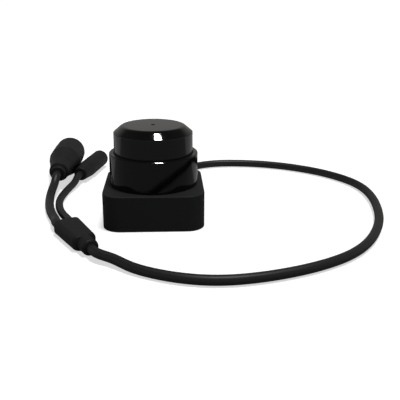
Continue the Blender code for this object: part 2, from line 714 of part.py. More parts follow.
def make_motor_bracket():
    """The disc on the collar's floor, with the tube that holds both bearings."""
    outer = COLLAR_BORE - FIT
    profile = [
        (TUBE_RADIUS, TUBE_TOP),
        (TUBE_RADIUS, BRACKET_TOP),
        (outer, BRACKET_TOP),
        (outer, BRACKET_Z),
        (TUBE_BORE, BRACKET_Z),
        (TUBE_BORE, TUBE_TOP),
    ]
    turned("motor_bracket", profile, "aluminium", sides=36, closed=True)


def make_bearings():
    """Two ball bearings, at the foot and the head of the bracket's tube."""
    bore = SHAFT_RADIUS + BEARING_CLEARANCE
    for name, low in (("lower_bearing", BRACKET_Z), ("upper_bearing", TUBE_TOP - BEARING_WIDTH)):
        ring(name, bore, BEARING_RADIUS, low, low + BEARING_WIDTH, "steel", 32)


def make_motor_board():
    """The ring-shaped board that drives the motor and carries the sensor and the fixed power coil."""
    outlines = [circle(COLLAR_BORE - FIT, 36), circle(TUBE_RADIUS + FIT, 24)]
    plate("motor_board", outlines, MOTOR_BOARD_Z, MOTOR_BOARD_TOP, "board_green")


def make_stator():
    """The laminated core, with a wound coil on each of its teeth."""
    top = STATOR_Z + STATOR_HEIGHT
    yoke = STATOR_BORE + STATOR_YOKE
    core = ring("stator_core", STATOR_BORE, yoke, STATOR_Z, top, "steel", 36)
    inner = yoke - STATOR_YOKE / 2
    coil_start = yoke + FIT
    for tooth in range(STATOR_TEETH):
        turn = Matrix.Rotation(2 * pi * tooth / STATOR_TEETH, 4, "Z")
        half = TOOTH_WIDTH / 2
        arm = block(
            f"tooth_{tooth + 1}", (inner, -half, STATOR_Z), (STATOR_RADIUS - TOOTH_TIP / 2, half, top), None
        )
        head = block(
            f"tooth_tip_{tooth + 1}",
            (STATOR_RADIUS - TOOTH_TIP, -2 * half, STATOR_Z), (STATOR_RADIUS, 2 * half, top), None,
        )
        for piece in (arm, head):
            piece.matrix_world = turn
            cut(core, piece, "UNION")
        gap = half + FIT
        out = gap + COIL_THICKNESS
        low = STATOR_Z - FIT
        high = top + FIT
        size_low = (coil_start, -out, low - COIL_THICKNESS)
        size_high = (coil_start + COIL_LENGTH, out, high + COIL_THICKNESS)
        coil = block(f"stator_coil_{tooth + 1}", size_low, size_high, "copper")
        window = block(
            f"coil_window_{tooth + 1}",
            (coil_start - MM, -gap, low), (coil_start + COIL_LENGTH + MM, gap, high), None,
        )
        coil.matrix_world = turn
        window.matrix_world = turn
        cut(coil, window)


def make_primary_coil():
    """The fixed coil on the motor board, which feeds the coil that turns above it."""
    low = MOTOR_BOARD_TOP + FIT
    high = low + PRIMARY_HEIGHT
    ring("primary_coil", COIL_RING_INNER, COIL_RING_OUTER, low, high, "copper")


def make_index_sensor():
    """The forked sensor that the code ring passes through."""
    slot_inner = CODE_RING_RADIUS - CODE_RING_WALL - SENSOR_CLEARANCE
    slot_outer = CODE_RING_RADIUS + SENSOR_CLEARANCE
    floor = MOTOR_BOARD_TOP + FIT
    ring_low = TABLE_Z - CODE_RING_DROP
    top = min(TABLE_Z - 2 * FIT, SKIRT_LOW - FIT)
    half = SENSOR_WIDTH / 2
    inner = slot_inner - SENSOR_LEG
    outer = slot_outer + SENSOR_LEG
    sensor = block("index_sensor", (-outer, -half, floor), (-inner, half, top), "chip_black")
    slot = block(
        "sensor_slot_cutter",
        (-slot_outer, -2 * half, ring_low - SENSOR_CLEARANCE), (-slot_inner, 2 * half, top + MM), None,
    )
    cut(sensor, slot)


# Turning pieces, each with its origin on the spindle's axis


def make_shaft():
    """The spindle, from below the lower bearing to the turntable's top."""
    low = BRACKET_Z - 0.6 * MM
    high = TABLE_TOP
    edge = 0.2 * MM
    profile = [
        (0.0, high), (SHAFT_RADIUS - edge, high), (SHAFT_RADIUS, high - edge),
        (SHAFT_RADIUS, low + edge), (SHAFT_RADIUS - edge, low), (0.0, low),
    ]
    turned("shaft", profile, "steel", sides=32)


def make_rotor_bell():
    """The steel cup that carries the magnet, and the magnet inside it."""
    bore = SHAFT_RADIUS + FIT
    top = BELL_TOP_Z + BELL_TOP
    inside = BELL_RADIUS - BELL_WALL
    profile = [
        (BELL_RADIUS - 0.4 * MM, top), (BELL_RADIUS, top - 0.4 * MM), (BELL_RADIUS, MAGNET_Z),
        (inside, MAGNET_Z), (inside, BELL_TOP_Z), (bore, BELL_TOP_Z), (bore, top),
    ]
    turned("rotor_bell", profile, "dark_steel", sides=36, closed=True)
    magnet_top = min(MAGNET_Z + MAGNET_HEIGHT, BELL_TOP_Z - FIT)
    ring("magnet_ring", MAGNET_INNER, MAGNET_OUTER, MAGNET_Z, magnet_top, "magnet")


def make_turntable():
    """The moulded disc on the bell, with its slotted code ring, its power coil and its board."""
    bore = SHAFT_RADIUS + FIT
    inner = CODE_RING_RADIUS - CODE_RING_WALL
    low = TABLE_Z - CODE_RING_DROP
    profile = [
        (CODE_RING_RADIUS, TABLE_TOP), (CODE_RING_RADIUS, low), (inner, low), (inner, TABLE_Z),
        (bore, TABLE_Z), (bore, TABLE_TOP),
    ]
    table = turned("turntable", profile, "satin_black", closed=True)

    def build(work):
        width = pi * CODE_RING_RADIUS / CODE_SLOTS * 0.5
        height = CODE_RING_DROP * 0.55
        for slot in range(CODE_SLOTS):
            turn = Matrix.Rotation(2 * pi * (slot + 0.25) / CODE_SLOTS, 4, "Z")
            place = Matrix.Translation((CODE_RING_RADIUS, 0.0, low + height / 2 - FIT))
            size = Matrix.Diagonal((6 * CODE_RING_WALL, width, height, 1.0))
            bmesh.ops.create_cube(work, size=1.0, matrix=turn @ place @ size)

    cut(table, add_object("code_slot_cutter", mesh_from("code_slot_cutter", build), None))
    coil_top = TABLE_Z - FIT
    coil_low = coil_top - SECONDARY_HEIGHT
    ring("secondary_coil", COIL_RING_INNER, COIL_RING_OUTER, coil_low, coil_top, "copper")
    outline = [circle(HEAD_BOARD_RADIUS, 48)]
    plate("head_board", outline, HEAD_BOARD_Z, HEAD_BOARD_Z + HEAD_BOARD_THICKNESS, "board_green")


def make_optics_frame():
    """The moulded block with one barrel for the receiver and one for the emitter, facing the front."""
    half = FRAME_SIZE.x / 2
    low = (-half, -FRAME_FRONT, FRAME_Z)
    high = (half, FRAME_BACK, FRAME_Z + FRAME_SIZE.z)
    frame = block("optics_frame", low, high, "satin_black", corner=1.5 * MM, segments=3)
    barrels = (
        ("receiver", RECEIVER_X, RECEIVER_LENS_RADIUS), ("emitter", EMITTER_X, EMITTER_LENS_RADIUS)
    )
    for name, x, radius in barrels:
        barrel = rod(f"{name}_barrel_cutter", radius + FIT, 0.0, FRAME_SIZE.y + 2 * MM, None)
        along(barrel, (x, -FRAME_FRONT - MM, OPTICAL_Z), (x, BASE_WIDTH, OPTICAL_Z))
        cut(frame, barrel)


def lens(name, x, radius, thickness, bulge):
    """A lens with two domed faces, sunk a little into its barrel."""
    steps = 3
    rise = [bulge * (1 - (k / steps) ** 2) for k in range(steps + 1)]
    spread = [radius * k / steps for k in range(steps + 1)]
    half = thickness / 2
    profile = [(r, half + z) for r, z in zip(spread, rise)]
    profile += [(r, -half - z) for r, z in zip(reversed(spread), reversed(rise))]
    piece = turned(name, profile, "lens_glass", sides=24)
    centre = -FRAME_FRONT + LENS_SINK + half + bulge
    return along(piece, (x, centre, OPTICAL_Z), (x, BASE_WIDTH, OPTICAL_Z))


def make_optics():
    """Lenses, laser diode and the two upright boards behind the frame."""
    lens("receiver_lens", RECEIVER_X, RECEIVER_LENS_RADIUS, 1.2 * MM, 0.8 * MM)
    lens("emitter_lens", EMITTER_X, EMITTER_LENS_RADIUS, 1.0 * MM, 0.5 * MM)
    can_radius = min(DIODE_CAN_RADIUS, EMITTER_LENS_RADIUS)
    flange = 1.2 * MM
    can = 3.2 * MM
    profile = [
        (0.0, flange), (DIODE_RADIUS, flange), (DIODE_RADIUS, 0.0), (can_radius, 0.0),
        (can_radius, -can), (0.0, -can),
    ]
    diode = turned("laser_diode", profile, "gold_brass", sides=24)
    along(diode, (EMITTER_X, FRAME_BACK + FIT, OPTICAL_Z), (EMITTER_X, BASE_WIDTH, OPTICAL_Z))
    board_low = FRAME_Z
    board_high = FRAME_Z + FRAME_SIZE.z
    front = FRAME_BACK + FIT
    half = RECEIVER_LENS_RADIUS + 1.5 * MM
    block(
        "receiver_board", (RECEIVER_X - half, front, board_low),
        (RECEIVER_X + half, front + HEAD_BOARD_THICKNESS, board_high), "board_green",
    )
    front += flange + FIT
    block(
        "laser_board", (EMITTER_X - half, front, board_low),
        (EMITTER_X + half - 2 * MM, front + HEAD_BOARD_THICKNESS, board_high), "board_green",
    )


# Cable


def make_strain_relief():
    """The rubber grommet in the rear wall, tapering along the cable, and the lead inside the base."""
    flange_inner = -BASE_WALL - FIT
    groove = RELIEF_HOLE_RADIUS - FIT
    tip = CORD_RADIUS + 0.7 * MM
    profile = [
        (0.0, RELIEF_LENGTH),
        (tip - 0.3 * MM, RELIEF_LENGTH),
        (tip, RELIEF_LENGTH - 0.3 * MM),
        (RELIEF_FLANGE_RADIUS - 0.9 * MM, FIT + RELIEF_FLANGE + 0.5 * MM),
        (RELIEF_FLANGE_RADIUS - 0.3 * MM, FIT + RELIEF_FLANGE),
        (RELIEF_FLANGE_RADIUS, FIT + RELIEF_FLANGE - 0.3 * MM),
        (RELIEF_FLANGE_RADIUS, FIT),
        (groove, FIT),
        (groove, flange_inner),
        (RELIEF_FLANGE_RADIUS - 0.3 * MM, flange_inner),
        (RELIEF_FLANGE_RADIUS - 0.3 * MM, flange_inner - RELIEF_FLANGE + FIT),
        (0.0, flange_inner - RELIEF_FLANGE + FIT),
    ]
    relief = turned("strain_relief", profile, "cord_rubber", sides=24)
    rear = BASE_WIDTH / 2
    along(relief, (0.0, rear, EXIT_HEIGHT), (0.0, 2 * rear, EXIT_HEIGHT))
    lead_start = (0.0, rear + flange_inner - RELIEF_FLANGE, EXIT_HEIGHT)
    header_rear = HEADER_PLACE.y + HEADER_SIZE.y / 2 + FIT
    lead_end = (HEADER_PLACE.x, header_rear, MAIN_PARTS_Z + HEADER_SIZE.z / 2)
    inwards = (0, -1, 0)
    cord("internal_lead", [], lead_start, inwards, lead_end, inwards, LEAD_RADIUS)


def split_axes():
    """The splitter's direction, towards the module's cable, and its sideways direction."""
    forward = (SPLIT_END - SPLIT_START).normalized()
    return forward, forward.cross(Vector((0, 0, 1)))


def make_cord_split():
    """The moulding where the cable divides: a flat tapered block with a stepped round nose."""
    length = (SPLIT_END - SPLIT_START).length
    half = Vector((SPLIT_WIDTH / 2, SPLIT_HEIGHT / 2))

    def build(work):
        bmesh.ops.create_cube(work, size=1.0)
        for vert in work.verts:
            taper = SPLIT_TAPER if vert.co.z > 0 else 1.0
            vert.co.x *= 2 * half.x * taper
            vert.co.y *= 2 * half.y
            vert.co.z = (vert.co.z + 0.5) * length

    body = add_object("cord_split", mesh_from("cord_split", build), "cord_rubber")
    round_edges(body, 2.2 * MM, 3)
    along(body, SPLIT_START, SPLIT_END)
    nose_profile = [
        (0.0, length + SPLIT_NOSE_LENGTH),
        (SPLIT_NOSE_RADIUS * 0.75, length + SPLIT_NOSE_LENGTH),
        (SPLIT_NOSE_RADIUS, length + SPLIT_NOSE_LENGTH - 1.4 * MM),
        (SPLIT_NOSE_RADIUS, length - 2 * MM),
        (0.0, length - 2 * MM),
    ]
    nose = turned("split_nose", nose_profile, None, sides=24)
    along(nose, SPLIT_START, SPLIT_END)
    cut(body, nose, "UNION")


def make_cords():
    """The cable from the module to the splitter and its two tails."""
    forward, side = split_axes()
    nose_end = SPLIT_END + forward * (SPLIT_NOSE_LENGTH + FIT)
    exit_point = (0.0, BASE_WIDTH / 2 + RELIEF_LENGTH + FIT, EXIT_HEIGHT)
    cord("main_cord", CORD_ROUTE, exit_point, (0, 1, 0), nose_end, -forward, CORD_RADIUS)
    rear = SPLIT_START - forward * FIT
    offset = side * (TAIL_SPACING / 2)
    power_way = (POWER_END - POWER_START).normalized()
    power_end = POWER_START - power_way * FIT
    network_end = NETWORK_START - Vector((0.0, FIT, 0.0))
    cord(
        "network_tail", NETWORK_TAIL_ROUTE, rear + offset, -forward, network_end, (0, 1, 0),
        TAIL_RADIUS_NETWORK,
    )
    cord(
        "power_tail", POWER_TAIL_ROUTE, rear - offset, -forward, power_end, power_way, TAIL_RADIUS_POWER
    )


def make_network_socket():
    """The round in-line network socket: a moulded body, its jack and the jack's contacts."""
    neck, body = NETWORK_NECK_RADIUS, NETWORK_RADIUS
    mouth = body - NETWORK_MOUTH_STEP
    mouth_low = NETWORK_LENGTH - NETWORK_MOUTH_LENGTH
    edge = 0.6 * MM
    profile = [
        (0.0, NETWORK_LENGTH),
        (mouth - edge, NETWORK_LENGTH),
        (mouth, NETWORK_LENGTH - edge),
        (mouth, mouth_low),
        (body, mouth_low - NETWORK_MOUTH_STEP),
        (body, NETWORK_CONE_LENGTH + 2 * MM),
        (body - edge, NETWORK_CONE_LENGTH),
        (neck + 0.4 * (body - neck), NETWORK_CONE_LENGTH / 2),
        (neck + 0.25 * (body - neck), NETWORK_NECK_LENGTH + edge),
        (neck - edge, NETWORK_NECK_LENGTH),
        (neck, NETWORK_NECK_LENGTH - MM),
        (neck, edge),
        (neck - edge, 0.0),
        (0.0, 0.0),
    ]
    socket = turned("network_socket", profile, "cord_rubber", sides=36)
    front = NETWORK_END
    along(socket, NETWORK_START, front)
    half = Vector((JACK_WIDTH / 2, 0.0, JACK_HEIGHT / 2))
    recess = half + Vector((FIT, 0.0, FIT))
    back = Vector((0.0, -JACK_DEPTH, 0.0))
    past_mouth = Vector((0.0, MM, 0.0))
    pocket_low = front - recess + back - Vector((0.0, FIT, 0.0))
    pocket = block("jack_pocket_cutter", pocket_low, front + recess + past_mouth, None)
    cut(socket, pocket)
    lip = Vector((0.0, -FIT, 0.0))
    jack = block("network_jack", front - half + back, front + half + lip, "white_plastic")
    port_half = Vector((JACK_PORT_WIDTH / 2, 0.0, JACK_PORT_HEIGHT / 2))
    port_low = front - port_half - Vector((0.0, JACK_PORT_DEPTH, 0.0))
    port = block("jack_port_cutter", port_low, front + port_half + past_mouth, None)
    cut(jack, port)
    make_jack_contacts(front)


def make_jack_contacts(front):
    """The eight spring contacts under the port's roof, on their common carrier."""
    roof = front.z + JACK_PORT_HEIGHT / 2 - FIT
    back = front.y - JACK_PORT_DEPTH + FIT
    width = CONTACT_PITCH * CONTACT_COUNT
    carrier = block(
        "network_contacts",
        (front.x - width / 2, back, roof - 1.4 * MM), (front.x + width / 2, back + 2.4 * MM, roof),
        "gold_brass",
    )
    for number in range(CONTACT_COUNT):
        x = front.x + (number - (CONTACT_COUNT - 1) / 2) * CONTACT_PITCH
        half = CONTACT_WIDTH / 2
        finger = block(
            f"contact_{number + 1}", (x - half, back + MM, roof - 1.0 * MM),
            (x + half, back + 9.5 * MM, roof - 0.5 * MM), None,
        )
        cut(carrier, finger, "UNION")


def make_power_socket():
    """The in-line barrel socket: a moulded body, its spring sleeve and its centre pin."""
    length = (POWER_END - POWER_START).length
    sleeve_outer = POWER_PLUG_RADIUS + POWER_SLEEVE_WALL
    bore = sleeve_outer + FIT
    floor = length - POWER_BORE_DEPTH
    edge = 0.7 * MM
    profile = [
        (0.0, floor),
        (bore, floor),
        (bore, length),
        (POWER_RADIUS - edge, length),
        (POWER_RADIUS, length - edge),
        (POWER_RADIUS, POWER_CONE_LENGTH + 0.5 * MM),
        (POWER_RADIUS - 0.3 * MM, POWER_CONE_LENGTH),
        (POWER_NECK_RADIUS, 1.2 * MM),
        (POWER_NECK_RADIUS - 0.6 * MM, 0.0),
        (0.0, 0.0),
    ]
    socket = turned("power_socket", profile, "cord_rubber", sides=32)
    along(socket, POWER_START, POWER_END)
    sleeve_low, sleeve_high = floor + FIT, length - FIT
    sleeve = ring("power_sleeve", POWER_PLUG_RADIUS, sleeve_outer, sleeve_low, sleeve_high, "steel", 32)
    along(sleeve, POWER_START, POWER_END)
    tip = length - 1.5 * MM
    pin_profile = [
        (0.0, tip), (POWER_PIN_RADIUS * 0.5, tip), (POWER_PIN_RADIUS, tip - 0.6 * MM),
        (POWER_PIN_RADIUS, floor + FIT), (0.0, floor + FIT),
    ]
    pin = turned("power_pin", pin_profile, "gold_brass", sides=16)
    along(pin, POWER_START, POWER_END)


make_base_housing()
make_bottom_plate()
make_bottom_seal()
make_bottom_screws()
make_collar()
make_collar_screws()
make_window_cap()
make_window_seal()
make_boards()
make_board_parts()
make_motor_bracket()
make_bearings()
make_motor_board()
make_stator()
make_primary_coil()
make_index_sensor()
make_shaft()
make_rotor_bell()
make_turntable()
make_optics_frame()
make_optics()
make_strain_relief()
make_cord_split()
make_cords()
make_network_socket()
make_power_socket()
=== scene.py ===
"""Looks of the lidar scanner module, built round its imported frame.

Metres throughout. +Z is up along the scanner's spin axis, and the cable leaves the rear, +Y.
"""

from math import pi, radians

import bpy
import numpy as np
from mathutils import Matrix


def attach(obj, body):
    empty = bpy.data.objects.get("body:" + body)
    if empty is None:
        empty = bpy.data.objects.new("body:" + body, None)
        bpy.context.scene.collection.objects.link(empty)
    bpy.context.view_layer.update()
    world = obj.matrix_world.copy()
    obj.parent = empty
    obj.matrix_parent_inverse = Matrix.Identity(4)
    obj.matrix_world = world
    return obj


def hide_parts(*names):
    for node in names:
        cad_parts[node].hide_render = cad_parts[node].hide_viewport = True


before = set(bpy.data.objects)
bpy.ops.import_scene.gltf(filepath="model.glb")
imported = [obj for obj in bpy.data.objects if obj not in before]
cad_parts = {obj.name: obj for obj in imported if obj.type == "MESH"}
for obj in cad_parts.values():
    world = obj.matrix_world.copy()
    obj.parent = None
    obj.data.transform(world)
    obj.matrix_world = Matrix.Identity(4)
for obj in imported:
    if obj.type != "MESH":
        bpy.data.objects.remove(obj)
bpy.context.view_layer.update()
scene = bpy.context.scene
MM = 0.001


# Camera: a short telephoto a third of a metre from the module, a little above it and looking down
# on it, with the module left of the middle so that the loop of cable has room on the right.

CAMERA_LENS_MM = 55.8
CAMERA_SENSOR_MM = 36.0
CAMERA_SHIFT = -0.0014
CAMERA_PITCH = 0.331
CAMERA_ROLL = 0.007
CAMERA_YAW = 0.057
CAMERA_PLACE = (23.96 * MM, -304.14 * MM, 112.59 * MM)

camera = bpy.data.objects.new("camera", bpy.data.cameras.new("camera"))
scene.collection.objects.link(camera)
camera.data.sensor_width = CAMERA_SENSOR_MM
camera.data.lens = CAMERA_LENS_MM
camera.data.shift_x = CAMERA_SHIFT
camera.matrix_world = (
    Matrix.Rotation(-CAMERA_YAW, 4, "Z")
    @ Matrix.Translation(CAMERA_PLACE)
    @ Matrix.Rotation(pi / 2 - CAMERA_PITCH, 4, "X")
    @ Matrix.Rotation(CAMERA_ROLL, 4, "Z")
)
scene.camera = camera


# Cable and its two tails: round extruded PVC leads, limp enough to lie flat where they rest. The
# jacket has faint die lines drawn out along it, a dull sheen, and a little pale dust.

CORD_RADIUS = 2.25 * MM
NETWORK_TAIL_RADIUS = 2.3 * MM
POWER_TAIL_RADIUS = 2.0 * MM
CORD_TUCK = 1.0 * MM  # how far each end reaches into its moulding
CORD_STRAIGHT = 1.5  # radii that each end runs straight before it bends
CORD_SPACING = 0.7 * MM
CORD_SIDES = 32
CORD_EXIT = (0.0, 0.0380, 0.0090)
CORD_END = (-0.026824, -0.052673, 0.00385)
SPLIT_WAY = np.array([0.46249, -0.88662, 0.0])
POWER_WAY = np.array([0.21582, 0.97643, 0.0])
REARWARDS = np.array([0.0, 1.0, 0.0])
CORD_ROUTE = [
    (0.0005, 0.0480, 0.00775), (0.0030, 0.0565, 0.00595), (0.0075, 0.0650, 0.00415),
    (0.0135, 0.0730, 0.00295), (0.0210, 0.0800, 0.00235), (0.0295, 0.0856, 0.00235),
    (0.0410, 0.0893, 0.00235), (0.0555, 0.0892, 0.00235), (0.0690, 0.0865, 0.00235),
    (0.0815, 0.0816, 0.00235), (0.0930, 0.0748, 0.00235), (0.1040, 0.0655, 0.00235),
    (0.1130, 0.0540, 0.00235), (0.1190, 0.0410, 0.00235), (0.1210, 0.0270, 0.00235),
    (0.1202, 0.0125, 0.00235), (0.1175, -0.0025, 0.00235), (0.1130, -0.0185, 0.00235),
    (0.1070, -0.0325, 0.00235), (0.0985, -0.0470, 0.00235), (0.0870, -0.0600, 0.00235),
    (0.0725, -0.0700, 0.00235), (0.0565, -0.0772, 0.00235), (0.0410, -0.0816, 0.00235),
    (0.0260, -0.0830, 0.00235), (0.0125, -0.0806, 0.00235), (0.0005, -0.0755, 0.00235),
    (-0.0100, -0.0685, 0.00265), (-0.0175, -0.0620, 0.00335),
]
NETWORK_TAIL_START = (-0.045276, -0.024214, 0.00385)
NETWORK_TAIL_END = (-0.0566, 0.0432, 0.0095)
NETWORK_TAIL_ROUTE = [
    (-0.0486, -0.0150, 0.0030), (-0.0516, -0.0060, 0.0024), (-0.0546, 0.0040, 0.0024),
    (-0.0566, 0.0140, 0.0024), (-0.0576, 0.0230, 0.0032), (-0.0575, 0.0305, 0.0050),
    (-0.0569, 0.0365, 0.0076),
]
POWER_TAIL_START = (-0.039601, -0.021254, 0.00385)
POWER_TAIL_END = (-0.045565, 0.056707, 0.0053)
POWER_TAIL_ROUTE = [
    (-0.0428, -0.0130, 0.0028), (-0.0466, -0.0040, 0.0021), (-0.0499, 0.0060, 0.0021),
    (-0.0517, 0.0175, 0.0021), (-0.0513, 0.0290, 0.0021), (-0.0493, 0.0395, 0.0027),
    (-0.0472, 0.0480, 0.0040),
]


def smooth_line(points, start_way, end_way, spacing):
    """Points at an even spacing along the cubic spline through the given ones.

    Each span is a Hermite cubic. The slopes at the points solve the linear system that makes the
    second derivative continuous, with the two end slopes given.
    """
    points = np.array(points, float)
    gaps = np.linalg.norm(np.diff(points, axis=0), axis=1)
    knots = np.concatenate([[0.0], np.cumsum(gaps)])
    slopes = np.diff(points, axis=0) / gaps[:, None]
    inner = np.arange(1, len(points) - 1)
    system = np.diag(np.concatenate([[1.0], 2 * (gaps[:-1] + gaps[1:]), [1.0]]))
    system[inner, inner - 1] = gaps[1:]
    system[inner, inner + 1] = gaps[:-1]
    bends = 3 * (gaps[1:, None] * slopes[:-1] + gaps[:-1, None] * slopes[1:])
    tangents = np.linalg.solve(system, np.vstack([start_way, bends, end_way]))
    places = np.linspace(0, knots[-1], max(2, round(knots[-1] / spacing)) + 1)
    span = np.clip(np.searchsorted(knots, places, side="right") - 1, 0, len(gaps) - 1)
    t = ((places - knots[span]) / gaps[span])[:, None]
    reach = gaps[span, None]
    return (
        (1 + 2 * t) * (1 - t) ** 2 * points[span]
        + t * (1 - t) ** 2 * tangents[span] * reach
        + t**2 * (3 - 2 * t) * points[span + 1]
        + t**2 * (t - 1) * tangents[span + 1] * reach
    )


def cord_line(start, route, end, start_way, end_way, radius):
    """A cord's centreline: the tuck and a straight run at each end, with the spline between."""
    start, end = np.array(start), np.array(end)
    start_way, end_way = np.array(start_way, float), np.array(end_way, float)
    straight = CORD_STRAIGHT * radius
    knots = [start + start_way * straight, *route, end - end_way * straight]
    middle = smooth_line(knots, start_way, end_way, CORD_SPACING)
    return np.vstack([start - start_way * CORD_TUCK, start, middle, end, end + end_way * CORD_TUCK])


def skin(name, rows, poles=None):
    """A closed mesh over a grid of points, rows by columns by three, whose columns meet round.

    Point (i, j) is number i * columns + j, and a quad takes (i, j), (i, j + 1), (i + 1, j + 1) and
    (i + 1, j). Without poles the last row joins the first. With them, a fan of triangles closes
    the first row to one point and the last row to the other.
    """
    count, columns = rows.shape[:2]
    numbers = np.arange(count * columns).reshape(count, columns)
    points = rows.reshape(-1, 3)
    here = numbers if poles is None else numbers[:-1]
    ahead = np.roll(numbers, -1, axis=0) if poles is None else numbers[1:]
    quads = np.stack([here, np.roll(here, -1, axis=1), np.roll(ahead, -1, axis=1), ahead], axis=-1)
    faces = quads.reshape(-1, 4).tolist()
    if poles is not None:
        first, last = numbers[0], numbers[-1]
        low, high = np.full(columns, len(points)), np.full(columns, len(points) + 1)
        faces += np.stack([low, np.roll(first, -1), first], axis=-1).tolist()
        faces += np.stack([high, last, np.roll(last, -1)], axis=-1).tolist()
        points = np.vstack([points, poles])
    mesh = bpy.data.meshes.new(name)
    mesh.from_pydata(points.tolist(), [], faces)
    return mesh


def add_piece(name, mesh, material, body, slot, *stands_for):
    """Put a mesh in the scene as a piece that rides on a body and stands for some of its nodes.

    Faces that meet at more than 32 degrees keep a sharp edge between them.
    """
    mesh.shade_smooth()
    mesh.set_sharp_from_angle(angle=radians(32))
    mesh.materials.clear()
    mesh.materials.append(material)
    piece = bpy.data.objects.new(name, mesh)
    scene.collection.objects.link(piece)
    flats = piece.modifiers.new("flats", "WEIGHTED_NORMAL")
    flats.keep_sharp = True
    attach(piece, body)
    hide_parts(*stands_for)
    return piece


def cord_skin(name, line, radius):
    """A round tube along a centreline.

    Each ring lies square to the line's tangent: the cosine along the level direction across it, and
    the sine along the direction at right angles to both. The attribute "lay" unrolls the jacket:
    the radius times the cosine and the sine, and the distance along the line.
    """
    tangent = np.gradient(line, axis=0)
    tangent /= np.linalg.norm(tangent, axis=1)[:, None]
    side = np.cross((0.0, 0.0, 1.0), tangent)
    side /= np.linalg.norm(side, axis=1)[:, None]
    up = np.cross(tangent, side)
    turn = np.linspace(0, 2 * pi, CORD_SIDES, endpoint=False)[None, :, None]
    rings = line[:, None] + radius * (np.cos(turn) * side[:, None] + np.sin(turn) * up[:, None])
    mesh = skin(name, rings, (line[0], line[-1]))
    run = np.concatenate([[0.0], np.cumsum(np.linalg.norm(np.diff(line, axis=0), axis=1))])
    lay = np.empty((len(line), CORD_SIDES, 3))
    lay[..., 0] = radius * np.cos(turn[..., 0])
    lay[..., 1] = radius * np.sin(turn[..., 0])
    lay[..., 2] = run[:, None]
    lay = np.vstack([lay.reshape(-1, 3), (0.0, 0.0, run[0]), (0.0, 0.0, run[-1])])
    mesh.attributes.new("lay", "FLOAT_VECTOR", "POINT").data.foreach_set("vector", lay.ravel())
    return mesh


def linear(code):
    """A colour in sRGB hex as linear red, green, blue and alpha."""
    value = np.array([int(code[i : i + 2], 16) for i in (1, 3, 5)]) / 255
    curve = ((value + 0.055) / 1.055) ** 2.4
    return (*np.where(value <= 0.04045, value / 12.92, curve).tolist(), 1.0)


def feed(tree, node, inputs):
    """Set each of a node's inputs to a value, or link it from a socket."""
    for name, value in inputs.items():
        if isinstance(value, bpy.types.NodeSocket):
            tree.links.new(value, node.inputs[name])
        else:
            node.inputs[name].default_value = value


def add_node(tree, kind, inputs, **settings):
    """Add a node with its settings and its inputs, and give back its first output in use."""
    node = tree.nodes.new(kind)
    for name, value in settings.items():
        setattr(node, name, value)
    feed(tree, node, inputs)
    return next(output for output in node.outputs if output.enabled)


def new_material(name):
    """A new material, its tree, its shader and the object coordinates that its patterns read."""
    material = bpy.data.materials.new(name)
    material.use_nodes = True
    tree = material.node_tree
    place = tree.nodes.new("ShaderNodeTexCoord").outputs["Object"]
    return material, tree, tree.nodes["Principled BSDF"], place


def make_extruded_pvc():
    """Extruded PVC: charcoal, die lines drawn out along it and a little pale dust on a dull sheen.

    Real die lines are under 0.1 mm apart. They are drawn 0.35 mm apart so that they show.
    """
    material, tree, shader, place = new_material("extruded_pvc")
    lay = add_node(tree, "ShaderNodeAttribute", {}, attribute_name="lay").node.outputs["Vector"]
    stretch = (1 / (0.35 * MM), 1 / (0.35 * MM), 1 / (30 * MM))  # a die line runs for 30 mm
    drawn = add_node(tree, "ShaderNodeVectorMath", {0: lay, 1: stretch}, operation="MULTIPLY")
    lines = add_node(tree, "ShaderNodeTexNoise", {"Vector": drawn, "Scale": 1.0, "Detail": 2.0})
    mottle = add_node(
        tree, "ShaderNodeTexNoise", {"Vector": place, "Scale": 1 / (7 * MM), "Detail": 3.0}
    )
    grain = add_node(
        tree, "ShaderNodeTexNoise", {"Vector": place, "Scale": 1 / (0.6 * MM), "Detail": 2.0}
    )
    dust = add_node(
        tree, "ShaderNodeMapRange",
        {"Value": grain, "From Min": 0.60, "From Max": 0.75, "To Min": 0.0, "To Max": 0.4},
    )
    jacket = add_node(
        tree, "ShaderNodeMix", {0: mottle, 6: linear("#161618"), 7: linear("#232325")},
        data_type="RGBA",
    )
    colour = add_node(
        tree, "ShaderNodeMix", {0: dust, 6: jacket, 7: linear("#3a3938")}, data_type="RGBA"
    )
    roughness = add_node(
        tree, "ShaderNodeMapRange", {"Value": lines, "To Min": 0.38, "To Max": 0.56}
    )
    height = add_node(tree, "ShaderNodeMath", {0: lines, 1: grain}, operation="ADD")
    bump = add_node(
        tree, "ShaderNodeBump", {"Height": height, "Strength": 0.5, "Distance": 0.03 * MM}
    )
    feed(tree, shader, {"Base Color": colour, "Roughness": roughness, "Normal": bump})
    return material


extruded_pvc = make_extruded_pvc()
cord_lines = {
    "main_cord": cord_line(CORD_EXIT, CORD_ROUTE, CORD_END, REARWARDS, -SPLIT_WAY, CORD_RADIUS),
    "network_tail": cord_line(
        NETWORK_TAIL_START, NETWORK_TAIL_ROUTE, NETWORK_TAIL_END, -SPLIT_WAY, REARWARDS,
        NETWORK_TAIL_RADIUS,
    ),
    "power_tail": cord_line(
        POWER_TAIL_START, POWER_TAIL_ROUTE, POWER_TAIL_END, -SPLIT_WAY, POWER_WAY, POWER_TAIL_RADIUS
    ),
}
cord_radii = {
    "main_cord": CORD_RADIUS, "network_tail": NETWORK_TAIL_RADIUS, "power_tail": POWER_TAIL_RADIUS
}
jackets = {
    name: add_piece(
        f"{name}_jacket", cord_skin(name, line, cord_radii[name]), extruded_pvc,
        "base", "cord_jacket", name,
    )
    for name, line in cord_lines.items()
}


# Splitter: a flat tapered block of TPE moulded over the place where the cable divides, with soft
# edges and a round nose round the cable. The tails leave its rear side by side.

